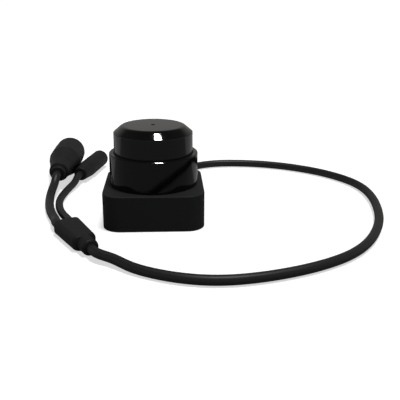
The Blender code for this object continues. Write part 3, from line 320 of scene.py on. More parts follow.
SPLIT_START = np.array([-0.0423, -0.0230, 0.00385])
SPLIT_LENGTH = 26.166 * MM
SPLIT_WIDTH = 13.0 * MM
SPLIT_TAPER = 0.86
SPLIT_HEIGHT = 7.5 * MM
SPLIT_EDGE = 2.2 * MM
SPLIT_CORNER = SPLIT_EDGE + 0.3 * MM
SPLIT_NOSE_RADIUS = 3.9 * MM
SPLIT_NOSE_LENGTH = 7.0 * MM
SPLIT_NOSE_EDGE = 1.3 * MM


def sections(stations, sides):
    """Rounded rectangles in a row, for stations of (along, half width, half height, corner).

    A point is its corner's centre plus the corner's radius times the cosine and the sine of its
    turn. The turns start half a step past each axis, so that no two points meet, and a corner as
    large as both halves makes a circle.
    """
    along, half_width, half_height, corner = np.array(stations, float).T[:, :, None]
    turn = (np.arange(sides) + 0.5) * 2 * pi / sides
    across = (half_width - corner) * np.sign(np.cos(turn)) + corner * np.cos(turn)
    up = (half_height - corner) * np.sign(np.sin(turn)) + corner * np.sin(turn)
    return np.stack([across, up, np.broadcast_to(along, across.shape)], axis=-1)


def lay_down(points, start, way):
    """Turn points that stand along Z so that they lie along a level direction from a start."""
    side = np.cross((0.0, 0.0, 1.0), way)
    return np.array(start) + np.array(points) @ np.array([side, np.cross(way, side), way])


def splitter_stations():
    """The block's rounded rear end, its rounded front end with the taper between, and the nose.

    An end rounds over as a quarter circle: a station steps in by one less the cosine of its turn
    and back by one less the sine, each times the edge's radius. The front end steps in to about
    the nose's size, and its corners open nearly to the nose's circle.
    """
    nose, tip = SPLIT_NOSE_RADIUS, SPLIT_LENGTH + SPLIT_NOSE_LENGTH
    turns = np.linspace(0, pi / 2, 7)
    inset, setback = 1 - np.cos(turns), 1 - np.sin(turns)
    rear_inset = SPLIT_EDGE * inset[::-1]
    half_width, half_height = SPLIT_WIDTH / 2, SPLIT_HEIGHT / 2
    rear = np.stack(
        [
            SPLIT_EDGE * setback[::-1], half_width - rear_inset, half_height - rear_inset,
            SPLIT_CORNER - rear_inset,
        ],
        axis=1,
    )
    front_width = half_width * SPLIT_TAPER
    width_step, height_step = front_width - nose - 0.2 * MM, half_height - nose + 0.35 * MM
    front = np.stack(
        [
            SPLIT_LENGTH - SPLIT_EDGE * setback, front_width - width_step * inset,
            half_height - height_step * inset, SPLIT_CORNER + 1.0 * MM * inset,
        ],
        axis=1,
    )
    neck = [(SPLIT_LENGTH + 0.25 * MM, nose, nose - 0.1 * MM, nose - 0.15 * MM)]
    end_radius = nose - SPLIT_NOSE_EDGE * inset
    end = np.stack([tip - SPLIT_NOSE_EDGE * setback, end_radius, end_radius, end_radius], axis=1)
    return np.vstack([rear, front, neck, end])


def make_moulded_tpe():
    """Injection-moulded TPE: dull charcoal, with an eroded skin and faint paler flow patches.

    The real skin's grains are about 0.1 mm. They are drawn 0.5 mm across so that they show.
    """
    material, tree, shader, place = new_material("moulded_tpe")
    grain = add_node(
        tree, "ShaderNodeTexNoise", {"Vector": place, "Scale": 1 / (0.5 * MM), "Detail": 3.0}
    )
    flow = add_node(
        tree, "ShaderNodeTexNoise",
        {"Vector": place, "Scale": 1 / (6 * MM), "Detail": 2.0, "Distortion": 0.6},
    )
    colour = add_node(
        tree, "ShaderNodeMix", {0: flow, 6: linear("#0b0b0c"), 7: linear("#1a1a1b")},
        data_type="RGBA",
    )
    roughness = add_node(
        tree, "ShaderNodeMapRange", {"Value": flow, "To Min": 0.52, "To Max": 0.72}
    )
    bump = add_node(
        tree, "ShaderNodeBump", {"Height": grain, "Strength": 0.6, "Distance": 0.05 * MM}
    )
    feed(
        tree, shader,
        {"Base Color": colour, "Roughness": roughness, "IOR": 1.46, "Normal": bump},
    )
    return material


moulded_tpe = make_moulded_tpe()
split_rows = lay_down(sections(splitter_stations(), 64), SPLIT_START, SPLIT_WAY)
split_poles = SPLIT_START, SPLIT_START + SPLIT_WAY * (SPLIT_LENGTH + SPLIT_NOSE_LENGTH)
splitter = add_piece(
    "splitter", skin("splitter", split_rows, split_poles), moulded_tpe,
    "base", "cord_rubber", "cord_split",
)


# Network socket: a round in-line socket, TPE moulded round a nylon jack with eight gilt contacts.
# Its rear steps down through a long cone and a ring to the tail.

NETWORK_START = np.array([-0.0566, 0.0435, 0.0095])
NETWORK_LENGTH = 53.5 * MM
NETWORK_RADIUS = 9.4 * MM
NETWORK_MOUTH_RADIUS = 9.2 * MM
NETWORK_NECK_RADIUS = 4.3 * MM
NETWORK_NECK_LENGTH = 3.8 * MM
NETWORK_CONE_LENGTH = 26.0 * MM
NETWORK_MOUTH_LENGTH = 8.0 * MM
NETWORK_SIDES = 160
JACK_WIDTH = 13.0 * MM
JACK_HEIGHT = 10.2 * MM
JACK_DEPTH = 17.4 * MM
FIT = 0.3 * MM  # clearance between pieces that touch
CORNER_STEPS = 6  # points on the arc of a rounded corner


def rounded(corners):
    """A closed outline with its corners rounded, from corners of (across, up, radius).

    The arc's centre is on the corner's bisector, at the radius over the sine of half the corner's
    angle. Its points turn evenly from where the arc touches one side to where it touches the next.
    """
    corners = np.array(corners, float)
    point, radius = corners[:, :2], corners[:, 2:]
    back, ahead = np.roll(point, 1, axis=0) - point, np.roll(point, -1, axis=0) - point
    back /= np.linalg.norm(back, axis=1)[:, None]
    ahead /= np.linalg.norm(ahead, axis=1)[:, None]
    half = np.arccos(np.clip(np.sum(back * ahead, axis=1), -1, 1))[:, None] / 2
    middle = back + ahead
    middle /= np.linalg.norm(middle, axis=1)[:, None]
    centre = point + middle * radius / np.sin(half)
    spoke = point + back * radius / np.tan(half) - centre
    sense = np.sign(back[:, 1] * ahead[:, 0] - back[:, 0] * ahead[:, 1])[:, None]
    turn = sense * (pi - 2 * half) * np.linspace(0, 1, CORNER_STEPS)
    x = centre[:, :1] + spoke[:, :1] * np.cos(turn) - spoke[:, 1:] * np.sin(turn)
    y = centre[:, 1:] + spoke[:, :1] * np.sin(turn) + spoke[:, 1:] * np.cos(turn)
    return np.stack([x, y], axis=-1).reshape(-1, 2)


def turned(corners, sides):
    """Circles up a solid's axis, for corners of (radius, height, rounding) from axis to axis."""
    radius, height = rounded(corners)[CORNER_STEPS:-CORNER_STEPS].T
    return sections(np.stack([height, radius, radius, radius], axis=1), sides)


def make_network_socket():
    """The turned body, whose last rows go in from the mouth's circle to the jack's pocket."""
    neck, body, mouth = NETWORK_NECK_RADIUS, NETWORK_RADIUS, NETWORK_MOUTH_RADIUS
    step = body - neck
    mouth_low = NETWORK_LENGTH - NETWORK_MOUTH_LENGTH
    soft, crisp, bevel = 0.6 * MM, 0.12 * MM, 0.1 * MM
    corners = [
        (0.0, 0.0, 0.0),
        (neck, 0.0, soft),
        (neck, NETWORK_NECK_LENGTH - 0.4 * MM, 0.4 * MM),
        (neck - soft, NETWORK_NECK_LENGTH, 0.15 * MM),
        (neck + 0.24 * step, NETWORK_NECK_LENGTH + soft, 0.35 * MM),
        (neck + 0.4 * step, NETWORK_CONE_LENGTH / 2, 8 * MM),
        (body - 0.5 * MM, NETWORK_CONE_LENGTH, 1.6 * MM),
        (body, NETWORK_CONE_LENGTH + 2 * MM, 1.6 * MM),
        (body, mouth_low - 0.2 * MM, crisp),
        (mouth, mouth_low, crisp),
        (mouth, NETWORK_LENGTH, soft),
        (0.0, NETWORK_LENGTH, 0.0),
    ]
    width, height, corner = JACK_WIDTH / 2 + FIT, JACK_HEIGHT / 2 + FIT, 0.4 * MM
    floor = NETWORK_LENGTH - JACK_DEPTH - FIT
    pocket = [
        (NETWORK_LENGTH, width + bevel, height + bevel, corner + bevel),
        (NETWORK_LENGTH - bevel, width, height, corner),
        (floor, width, height, corner),
    ]
    rows = np.concatenate([turned(corners, NETWORK_SIDES), sections(pocket, NETWORK_SIDES)])
    poles = [(0.0, 0.0, 0.0), (0.0, 0.0, floor)]
    laid = lay_down(rows, NETWORK_START, REARWARDS)
    return skin("network_socket", laid, lay_down(poles, NETWORK_START, REARWARDS))


def finish_nodes(material, *names):
    """Give carried-over nodes their material."""
    for name in names:
        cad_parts[name].data.materials[0] = material


def make_jack_nylon():
    """Glass-filled nylon: off-white, slightly waxy, with a fine cloudy mottle from its fibres."""
    material, tree, shader, place = new_material("jack_nylon")
    cloud = add_node(
        tree, "ShaderNodeTexNoise", {"Vector": place, "Scale": 1 / (0.8 * MM), "Detail": 4.0}
    )
    colour = add_node(
        tree, "ShaderNodeMix", {0: cloud, 6: linear("#cfccc2"), 7: linear("#e2dfd6")},
        data_type="RGBA",
    )
    bump = add_node(
        tree, "ShaderNodeBump", {"Height": cloud, "Strength": 0.3, "Distance": 0.02 * MM}
    )
    feed(tree, shader, {"Base Color": colour, "Roughness": 0.42, "IOR": 1.53, "Normal": bump})
    return material


def make_gilt_brass():
    """Gold plate on brass: warm and bright, with slight wipe marks 0.3 mm apart."""
    material, tree, shader, place = new_material("gilt_brass")
    wipe = add_node(
        tree, "ShaderNodeTexNoise", {"Vector": place, "Scale": 1 / (0.3 * MM), "Detail": 3.0}
    )
    colour = add_node(
        tree, "ShaderNodeMix", {0: wipe, 6: linear("#c9a14e"), 7: linear("#e3c06b")},
        data_type="RGBA",
    )
    roughness = add_node(
        tree, "ShaderNodeMapRange", {"Value": wipe, "To Min": 0.16, "To Max": 0.34}
    )
    feed(tree, shader, {"Base Color": colour, "Metallic": 1.0, "Roughness": roughness})
    return material


jack_nylon = make_jack_nylon()
gilt_brass = make_gilt_brass()
network_socket = add_piece(
    "network_socket_body", make_network_socket(), moulded_tpe,
    "base", "cord_rubber", "network_socket",
)
finish_nodes(jack_nylon, "network_jack", "cable_header")
finish_nodes(gilt_brass, "network_contacts", "power_pin", "laser_diode")


# Power socket: a slim barrel socket in the same TPE, tapering to the tail, with a nickelled spring
# sleeve and a centre pin down its bore.

POWER_START = np.array([-0.0455, 0.0570, 0.0053])
POWER_LENGTH = 38.917 * MM
POWER_RADIUS = 5.2 * MM
POWER_NECK_RADIUS = 4.0 * MM
POWER_CONE_LENGTH = 11.5 * MM
POWER_BORE_RADIUS = 3.5 * MM
POWER_BORE_DEPTH = 10.5 * MM
THIN_TURNED_SIDES = 96


def make_power_socket():
    """The turned body, from the middle of its rear round to the bottom of its bore."""
    floor = POWER_LENGTH - POWER_BORE_DEPTH
    corners = [
        (0.0, 0.0, 0.0),
        (POWER_NECK_RADIUS, 0.0, 0.9 * MM),
        (POWER_RADIUS - 0.2 * MM, POWER_CONE_LENGTH, 2.5 * MM),
        (POWER_RADIUS, POWER_CONE_LENGTH + 2 * MM, 1.5 * MM),
        (POWER_RADIUS, POWER_LENGTH, 0.7 * MM),
        (POWER_BORE_RADIUS, POWER_LENGTH, 0.12 * MM),
        (POWER_BORE_RADIUS, floor, 0.1 * MM),
        (0.0, floor, 0.0),
    ]
    laid = lay_down(turned(corners, THIN_TURNED_SIDES), POWER_START, POWER_WAY)
    poles = lay_down([(0.0, 0.0, 0.0), (0.0, 0.0, floor)], POWER_START, POWER_WAY)
    return skin("power_socket", laid, poles)


def make_drawn_nickel():
    """Nickel-plated steel: cool grey and bright, with drawing marks 0.4 mm apart."""
    material, tree, shader, place = new_material("drawn_nickel")
    marks = add_node(
        tree, "ShaderNodeTexNoise", {"Vector": place, "Scale": 1 / (0.4 * MM), "Detail": 4.0}
    )
    colour = add_node(
        tree, "ShaderNodeMix", {0: marks, 6: linear("#8f8f8c"), 7: linear("#b3b3ae")},
        data_type="RGBA",
    )
    roughness = add_node(tree, "ShaderNodeMapRange", {"Value": marks, "To Min": 0.2, "To Max": 0.4})
    feed(tree, shader, {"Base Color": colour, "Metallic": 1.0, "Roughness": roughness})
    return material


drawn_nickel = make_drawn_nickel()
power_socket = add_piece(
    "power_socket_body", make_power_socket(), moulded_tpe,
    "base", "cord_rubber", "power_socket",
)
finish_nodes(drawn_nickel, "power_sleeve")


# Strain relief: a TPE grommet that snaps into the rear wall by a groove between two flanges, with
# a tapered tail that keeps the cable from kinking where it leaves.

RELIEF_START = np.array([0.0, 0.0250, 0.0090])
RELIEF_LENGTH = 12.7 * MM
RELIEF_FLANGE_RADIUS = 4.9 * MM
RELIEF_FLANGE = 1.6 * MM
RELIEF_INNER_RADIUS = 4.6 * MM
RELIEF_GROOVE_RADIUS = 3.3 * MM
RELIEF_TIP_RADIUS = 2.95 * MM
BASE_WALL = 3.4 * MM


def make_strain_relief():
    """The turned grommet, from the inner flange's middle out through the wall to its tip."""
    inner_low = -BASE_WALL - RELIEF_FLANGE
    corners = [
        (0.0, inner_low, 0.0),
        (RELIEF_INNER_RADIUS, inner_low, 0.3 * MM),
        (RELIEF_INNER_RADIUS, -BASE_WALL - FIT, 0.3 * MM),
        (RELIEF_GROOVE_RADIUS, -BASE_WALL - FIT, 0.1 * MM),
        (RELIEF_GROOVE_RADIUS, FIT, 0.1 * MM),
        (RELIEF_FLANGE_RADIUS, FIT, 0.2 * MM),
        (RELIEF_FLANGE_RADIUS, FIT + RELIEF_FLANGE, 0.5 * MM),
        (RELIEF_FLANGE_RADIUS - 0.9 * MM, FIT + RELIEF_FLANGE + 0.3 * MM, 0.4 * MM),
        (RELIEF_TIP_RADIUS, RELIEF_LENGTH, 0.35 * MM),
        (0.0, RELIEF_LENGTH, 0.0),
    ]
    laid = lay_down(turned(corners, THIN_TURNED_SIDES), RELIEF_START, REARWARDS)
    poles = lay_down([(0.0, 0.0, inner_low), (0.0, 0.0, RELIEF_LENGTH)], RELIEF_START, REARWARDS)
    return skin("strain_relief", laid, poles)


strain_relief = add_piece(
    "strain_relief_grommet", make_strain_relief(), moulded_tpe,
    "base", "cord_rubber", "strain_relief",
)
finish_nodes(extruded_pvc, "internal_lead")


# Base housing: a square box injection-moulded in ABS, with a spark-eroded satin skin. Inside are a
# ledge for the plate, a screw boss in each corner and a round opening for the drive in the deck.

BASE_HALF = 25.0 * MM
BASE_HEIGHT = 17.9 * MM
BASE_CORNER = 8.8 * MM
BASE_EDGE = 0.5 * MM
BASE_SIDES = 128
DECK_LOW = 15.9 * MM
DECK_HOLE_RADIUS = 17.5 * MM
LEDGE_HALF = 22.8 * MM
LEDGE_Z = 3.7 * MM
BOSS_PLACE = 18.0 * MM
BOSS_RADIUS = 3.6 * MM
BOSS_HOLE_TOP = 8.5 * MM
SCREW_HOLE_RADIUS = 1.3 * MM
SCREW_CIRCLE_RADIUS = 19.4 * MM
RELIEF_HOLE_RADIUS = 3.6 * MM


def rod(radius, low, high, centre=(0.0, 0.0), sides=32):
    """A plain upright rod, to join to a piece or to cut from it."""
    rows = sections([(low, radius, radius, radius), (high, radius, radius, radius)], sides)
    shift = np.array([*centre, 0.0])
    return skin("rod", rows + shift, [shift + (0, 0, low), shift + (0, 0, high)])


def combine(mesh, other, operation):
    """The mesh joined with another or cut by it, by an exact Boolean that is then applied."""
    thing, tool = (bpy.data.objects.new("work", data) for data in (mesh, other))
    scene.collection.objects.link(thing)
    scene.collection.objects.link(tool)
    work = thing.modifiers.new("work", "BOOLEAN")
    work.object, work.operation, work.solver = tool, operation, "EXACT"
    evaluated = thing.evaluated_get(bpy.context.evaluated_depsgraph_get())
    done = bpy.data.meshes.new_from_object(evaluated)
    bpy.data.objects.remove(thing)
    bpy.data.objects.remove(tool)
    return done


def cut_screw_holes(mesh, low, high):
    """Cut the three holes of the collar's screws, evenly round a circle from the front."""
    for turn in np.arange(3) * 2 * pi / 3 - pi / 2:
        centre = SCREW_CIRCLE_RADIUS * np.array([np.cos(turn), np.sin(turn)])
        mesh = combine(mesh, rod(SCREW_HOLE_RADIUS, low, high, centre), "DIFFERENCE")
    return mesh


def make_base_housing():
    """Rounded squares up the outside, in over the deck, down through its hole and the cavity.

    Each is the outer square moved in evenly, so its corner shrinks by as much, apart from the
    round hole, where the corner is as large as the half width.
    """
    crisp = 0.1 * MM
    outline = rounded(
        [
            (BASE_HALF, 0.0, 0.3 * MM),
            (BASE_HALF, BASE_HEIGHT, BASE_EDGE),
            (DECK_HOLE_RADIUS, BASE_HEIGHT, 0.2 * MM),
            (DECK_HOLE_RADIUS, DECK_LOW, crisp),
            (BASE_HALF - BASE_WALL, DECK_LOW, 0.4 * MM),
            (BASE_HALF - BASE_WALL, LEDGE_Z, crisp),
            (LEDGE_HALF, LEDGE_Z, crisp),
            (LEDGE_HALF, 0.0, crisp),
        ]
    )
    half, height = outline.T
    square = half > DECK_HOLE_RADIUS + 0.5 * MM
    corner = np.where(square, half - (BASE_HALF - BASE_CORNER), half)
    rows = sections(np.stack([height, half, half, corner], axis=1), BASE_SIDES)
    mesh = skin("base_housing", rows)
    for place in ((a * BOSS_PLACE, b * BOSS_PLACE) for a in (-1, 1) for b in (-1, 1)):
        boss = rod(BOSS_RADIUS, LEDGE_Z, BASE_HEIGHT - MM, place)
        mesh = combine(mesh, boss, "UNION")
        hole = rod(SCREW_HOLE_RADIUS, LEDGE_Z - MM, BOSS_HOLE_TOP, place)
        mesh = combine(mesh, hole, "DIFFERENCE")
    opening = rod(DECK_HOLE_RADIUS, DECK_LOW - MM, BASE_HEIGHT + MM, sides=BASE_SIDES)
    mesh = combine(mesh, opening, "DIFFERENCE")
    mesh = cut_screw_holes(mesh, DECK_LOW - MM, BASE_HEIGHT + MM)
    relief = rod(RELIEF_HOLE_RADIUS, -2 * BASE_WALL, BASE_WALL, sides=64)
    relief.transform(Matrix.Translation(RELIEF_START) @ Matrix.Rotation(-pi / 2, 4, "X"))
    return combine(mesh, relief, "DIFFERENCE")


def make_eroded_abs():
    """ABS from a spark-eroded mould: satin black, an even fine grain, and faint handling smears.

    The real grain is about 0.1 mm. It is drawn 0.4 mm across so that it shows.
    """
    material, tree, shader, place = new_material("eroded_abs")
    grain = add_node(
        tree, "ShaderNodeTexNoise", {"Vector": place, "Scale": 1 / (0.4 * MM), "Detail": 3.0}
    )
    smear = add_node(
        tree, "ShaderNodeTexNoise",
        {"Vector": place, "Scale": 1 / (14 * MM), "Detail": 3.0, "Distortion": 0.8},
    )
    colour = add_node(
        tree, "ShaderNodeMix", {0: smear, 6: linear("#101112"), 7: linear("#191b1d")},
        data_type="RGBA",
    )
    roughness = add_node(
        tree, "ShaderNodeMapRange", {"Value": smear, "To Min": 0.64, "To Max": 0.78}
    )
    bump = add_node(
        tree, "ShaderNodeBump", {"Height": grain, "Strength": 0.4, "Distance": 0.02 * MM}
    )
    feed(tree, shader, {"Base Color": colour, "Roughness": roughness, "Normal": bump})
    return material


eroded_abs = make_eroded_abs()
add_piece(
    "base_shell", make_base_housing(), eroded_abs, "base", "satin_black", "base_housing"
)


# Bottom plate: an ABS plate in the box's recess, on a silicone gasket, held by four blackened
# steel screws in the corners. Its four threaded holes take the mount's screws.

def make_black_oxide_steel():
    """Black-oxide steel: dark and a little oily, with worn paler spots 0.5 mm across."""
    material, tree, shader, place = new_material("black_oxide_steel")
    wear = add_node(
        tree, "ShaderNodeTexNoise", {"Vector": place, "Scale": 1 / (0.5 * MM), "Detail": 4.0}
    )
    colour = add_node(
        tree, "ShaderNodeMix", {0: wear, 6: linear("#28282b"), 7: linear("#4a4a4c")},
        data_type="RGBA",
    )
    roughness = add_node(tree, "ShaderNodeMapRange", {"Value": wear, "To Min": 0.3, "To Max": 0.5})
    feed(tree, shader, {"Base Color": colour, "Metallic": 1.0, "Roughness": roughness})
    return material


def make_silicone():
    """Moulded silicone: matt dark grey with a soft bloom and a mottle 1.5 mm across."""
    material, tree, shader, place = new_material("moulded_silicone")
    bloom = add_node(
        tree, "ShaderNodeTexNoise", {"Vector": place, "Scale": 1 / (1.5 * MM), "Detail": 3.0}
    )
    colour = add_node(
        tree, "ShaderNodeMix", {0: bloom, 6: linear("#17181a"), 7: linear("#26272a")},
        data_type="RGBA",
    )
    feed(tree, shader, {"Base Color": colour, "Roughness": 0.7, "IOR": 1.43})
    return material


black_oxide_steel = make_black_oxide_steel()
finish_nodes(eroded_abs, "bottom_plate")
finish_nodes(make_silicone(), "bottom_seal", "window_seal")
finish_nodes(black_oxide_steel, *(f"bottom_screw_{number}" for number in range(1, 5)))
finish_nodes(black_oxide_steel, *(f"collar_screw_{number}" for number in range(1, 4)))


# Collar: the lower round shell, ABS from a polished mould and so glossy, standing on the deck. Its
# top edge is chamfered, and a lip closes in to the window cap.

COLLAR_RADIUS = 22.3 * MM
COLLAR_LOW = 18.2 * MM
COLLAR_TOP = 34.0 * MM
COLLAR_LIP_RADIUS = 20.1 * MM
COLLAR_CEILING = 32.5 * MM
COLLAR_BORE = 20.8 * MM
COLLAR_FLOOR = 20.2 * MM
COLLAR_FLOOR_INNER = 17.8 * MM
COLLAR_CHAMFER = (0.54 * MM, 0.441 * MM)
PILOT_TOP = 19.7 * MM
SHELL_SIDES = 256


def make_collar():
    """The turned shell, up its outside, over the lip, and down its bore to the floor."""
    crisp = 0.1 * MM
    across, down = COLLAR_CHAMFER
    outline = rounded(
        [
            (COLLAR_FLOOR_INNER, COLLAR_LOW, crisp),
            (COLLAR_RADIUS, COLLAR_LOW, 0.25 * MM),
            (COLLAR_RADIUS, COLLAR_TOP - down, 0.12 * MM),
            (COLLAR_RADIUS - across, COLLAR_TOP, 0.12 * MM),
            (COLLAR_LIP_RADIUS, COLLAR_TOP, 0.15 * MM),
            (COLLAR_LIP_RADIUS, COLLAR_CEILING, crisp),
            (COLLAR_BORE, COLLAR_CEILING, crisp),
            (COLLAR_BORE, COLLAR_FLOOR, crisp),
            (COLLAR_FLOOR_INNER, COLLAR_FLOOR, crisp),
        ]
    )
    radius, height = outline.T
    rows = sections(np.stack([height, radius, radius, radius], axis=1), SHELL_SIDES)
    mesh = skin("collar", rows)
    return cut_screw_holes(mesh, COLLAR_LOW - MM, PILOT_TOP)


def make_polished_abs():
    """ABS from a polished mould: glossy black, faintly wavy, with fine wipe marks and some dust."""
    material, tree, shader, place = new_material("polished_abs")
    wave = add_node(
        tree, "ShaderNodeTexNoise", {"Vector": place, "Scale": 1 / (6 * MM), "Detail": 1.0}
    )
    wipe = add_node(
        tree, "ShaderNodeTexNoise",
        {"Vector": place, "Scale": 1 / (3 * MM), "Detail": 4.0, "Distortion": 1.0},
    )
    dust = add_node(
        tree, "ShaderNodeTexNoise", {"Vector": place, "Scale": 1 / (0.5 * MM), "Detail": 1.0}
    )
    speck = add_node(
        tree, "ShaderNodeMapRange",
        {"Value": dust, "From Min": 0.72, "From Max": 0.8, "To Min": 0.0, "To Max": 0.5},
    )
    colour = add_node(
        tree, "ShaderNodeMix", {0: speck, 6: linear("#080808"), 7: linear("#4a4a48")},
        data_type="RGBA",
    )
    roughness = add_node(
        tree, "ShaderNodeMapRange", {"Value": wipe, "To Min": 0.04, "To Max": 0.12}
    )
    bump = add_node(
        tree, "ShaderNodeBump", {"Height": wave, "Strength": 0.05, "Distance": 0.02 * MM}
    )
    feed(tree, shader, {"Base Color": colour, "Roughness": roughness, "Normal": bump})
    return material


polished_abs = make_polished_abs()
add_piece("collar_shell", make_collar(), polished_abs, "base", "gloss_black", "collar")


# Window cap: the upper shell, moulded in a polycarbonate that looks black but passes the laser's
# infra-red, so its skin is optically polished. The dimple in its top is the gate's trimmed mark.

CAP_RADIUS = 19.8 * MM
CAP_SIDE_TOP = 44.1 * MM
CAP_TOP = 47.6 * MM
CAP_FLAT_RADIUS = 15.7 * MM
CAP_SKIRT_RADIUS = 19.0 * MM
CAP_FLANGE_RADIUS = 20.5 * MM
CAP_FLANGE_TOP = 30.7 * MM
CAP_LOW = 29.1 * MM
CAP_INSIDE_RADIUS = 18.2 * MM
CAP_INSIDE_TOP = 46.0 * MM
CAP_INSIDE_FLAT = 14.9 * MM
DIMPLE_RADIUS = 1.2 * MM
DIMPLE_DEPTH = 0.3 * MM


def make_window_cap():
    """The turned shell, from the middle of its inside round its flange to the dimple's middle."""
    corners = [
        (0.0, CAP_INSIDE_TOP, 0.0),
        (CAP_INSIDE_FLAT, CAP_INSIDE_TOP, 0.5 * MM),
        (CAP_INSIDE_RADIUS, CAP_SIDE_TOP, 0.5 * MM),
        (CAP_INSIDE_RADIUS, CAP_LOW, 0.15 * MM),
        (CAP_FLANGE_RADIUS, CAP_LOW, 0.15 * MM),
        (CAP_FLANGE_RADIUS, CAP_FLANGE_TOP, 0.15 * MM),
        (CAP_SKIRT_RADIUS, CAP_FLANGE_TOP, 0.15 * MM),
        (CAP_SKIRT_RADIUS, COLLAR_CEILING, 0.15 * MM),
        (CAP_RADIUS, COLLAR_CEILING, 0.15 * MM),
        (CAP_RADIUS, CAP_SIDE_TOP, 0.5 * MM),
        (CAP_FLAT_RADIUS, CAP_TOP, 3.6 * MM),
        (DIMPLE_RADIUS, CAP_TOP, 0.2 * MM),
        (0.6 * DIMPLE_RADIUS, CAP_TOP - DIMPLE_DEPTH, 0.3 * MM),
        (0.0, CAP_TOP - DIMPLE_DEPTH, 0.0),
    ]
    poles = [(0.0, 0.0, CAP_INSIDE_TOP), (0.0, 0.0, CAP_TOP - DIMPLE_DEPTH)]
    return skin("window_cap", turned(corners, SHELL_SIDES), poles)


def make_polished_polycarbonate():
    """Infra-red polycarbonate: black and mirror smooth, with wipe marks 4 mm long and fine dust."""
    material, tree, shader, place = new_material("polished_polycarbonate")
    wipe = add_node(
        tree, "ShaderNodeTexNoise",
        {"Vector": place, "Scale": 1 / (4 * MM), "Detail": 4.0, "Distortion": 1.2},
    )
    dust = add_node(
        tree, "ShaderNodeTexNoise", {"Vector": place, "Scale": 1 / (0.5 * MM), "Detail": 1.0}
    )
    speck = add_node(
        tree, "ShaderNodeMapRange",
        {"Value": dust, "From Min": 0.72, "From Max": 0.8, "To Min": 0.0, "To Max": 0.5},
    )
    colour = add_node(
        tree, "ShaderNodeMix", {0: speck, 6: linear("#050505"), 7: linear("#4a4a48")},
        data_type="RGBA",
    )
    roughness = add_node(
        tree, "ShaderNodeMapRange", {"Value": wipe, "To Min": 0.03, "To Max": 0.10}
    )
    feed(tree, shader, {"Base Color": colour, "Roughness": roughness, "IOR": 1.58})
    return material


add_piece(
    "window_cap_shell", make_window_cap(), make_polished_polycarbonate(),
    "base", "window_black", "window_cap",
)


# Boards: glass-epoxy boards under a green solder mask, the parts on them moulded in epoxy, on
# gilt brass spacers. They are seen only with the shells off.

def make_solder_mask():
    """Solder mask over glass epoxy: semi-gloss green, with tracks 0.5 mm wide standing paler."""
    material, tree, shader, place = new_material("solder_mask")
    tracks = add_node(
        tree, "ShaderNodeTexBrick",
        {
            "Vector": place, "Scale": 1 / (4 * MM), "Mortar Size": 0.06, "Mortar Smooth": 0.1,
            "Color1": linear("#0f4a2c"), "Color2": linear("#13532f"), "Mortar": linear("#2a7a48"),
        },
    )
    weave = add_node(
        tree, "ShaderNodeTexNoise", {"Vector": place, "Scale": 1 / (0.4 * MM), "Detail": 2.0}
    )
    roughness = add_node(
        tree, "ShaderNodeMapRange", {"Value": weave, "To Min": 0.25, "To Max": 0.4}
    )
    bump = add_node(
        tree, "ShaderNodeBump", {"Height": weave, "Strength": 0.3, "Distance": 0.02 * MM}
    )
    feed(tree, shader, {"Base Color": tracks, "Roughness": roughness, "Normal": bump})
    return material


def make_moulded_epoxy():
    """Transfer-moulded epoxy: dark grey and matt, with a fine silica sparkle 0.3 mm across."""
    material, tree, shader, place = new_material("moulded_epoxy")
    silica = add_node(
        tree, "ShaderNodeTexNoise", {"Vector": place, "Scale": 1 / (0.3 * MM), "Detail": 3.0}
    )
    colour = add_node(
        tree, "ShaderNodeMix", {0: silica, 6: linear("#1b1b1c"), 7: linear("#2f2f31")},
        data_type="RGBA",
    )
    bump = add_node(
        tree, "ShaderNodeBump", {"Height": silica, "Strength": 0.4, "Distance": 0.02 * MM}
    )
    feed(tree, shader, {"Base Color": colour, "Roughness": 0.6, "Normal": bump})
    return material


boards = ("main_board", "power_board", "motor_board", "head_board", "receiver_board", "laser_board")
finish_nodes(make_solder_mask(), *boards)
finish_nodes(make_moulded_epoxy(), "processor_chip", "network_transformer", "index_sensor")
finish_nodes(gilt_brass, *(f"board_spacer_{number}" for number in range(1, 5)))


# Drive: a turned aluminium bracket with a bearing tube, nickelled steel bearings, shaft and stator
# core, six copper windings, and the ferrite ring and steel bell that spin round them.

WAVE_TURNS = 6.28  # waves that the wave texture draws in one unit at a scale of one


def make_turned_aluminium():
    """Turned and clear-anodised aluminium: pale satin grey with tool rings 0.2 mm apart."""
    material, tree, shader, place = new_material("turned_aluminium")
    rings = add_node(
        tree, "ShaderNodeTexWave",
        {"Vector": place, "Scale": 1 / (0.2 * MM) / WAVE_TURNS, "Distortion": 1.0, "Detail": 2.0},
        wave_type="RINGS", rings_direction="Z",
    )
    lines = rings.node.outputs["Fac"]
    colour = add_node(
        tree, "ShaderNodeMix", {0: lines, 6: linear("#a9abae"), 7: linear("#c6c8ca")},
        data_type="RGBA",
    )
    roughness = add_node(
        tree, "ShaderNodeMapRange", {"Value": lines, "To Min": 0.3, "To Max": 0.42}
    )
    feed(tree, shader, {"Base Color": colour, "Metallic": 1.0, "Roughness": roughness})
    return material


def make_enamelled_copper():
    """Enamelled copper wire: warm and glossy, wound in turns 0.4 mm apart."""
    material, tree, shader, place = new_material("enamelled_copper")
    turns = add_node(
        tree, "ShaderNodeTexWave",
        {"Vector": place, "Scale": 1 / (0.4 * MM) / WAVE_TURNS, "Distortion": 0.3},
        wave_type="BANDS", bands_direction="Z",
    )
    wires = turns.node.outputs["Fac"]
    colour = add_node(
        tree, "ShaderNodeMix", {0: wires, 6: linear("#7a3414"), 7: linear("#c7713c")},
        data_type="RGBA",
    )
    bump = add_node(
        tree, "ShaderNodeBump", {"Height": wires, "Strength": 0.6, "Distance": 0.08 * MM}
    )
    feed(
        tree, shader,
        {
            "Base Color": colour, "Metallic": 0.9, "Roughness": 0.28, "Coat Weight": 0.6,
            "Normal": bump,
        },
    )
    return material


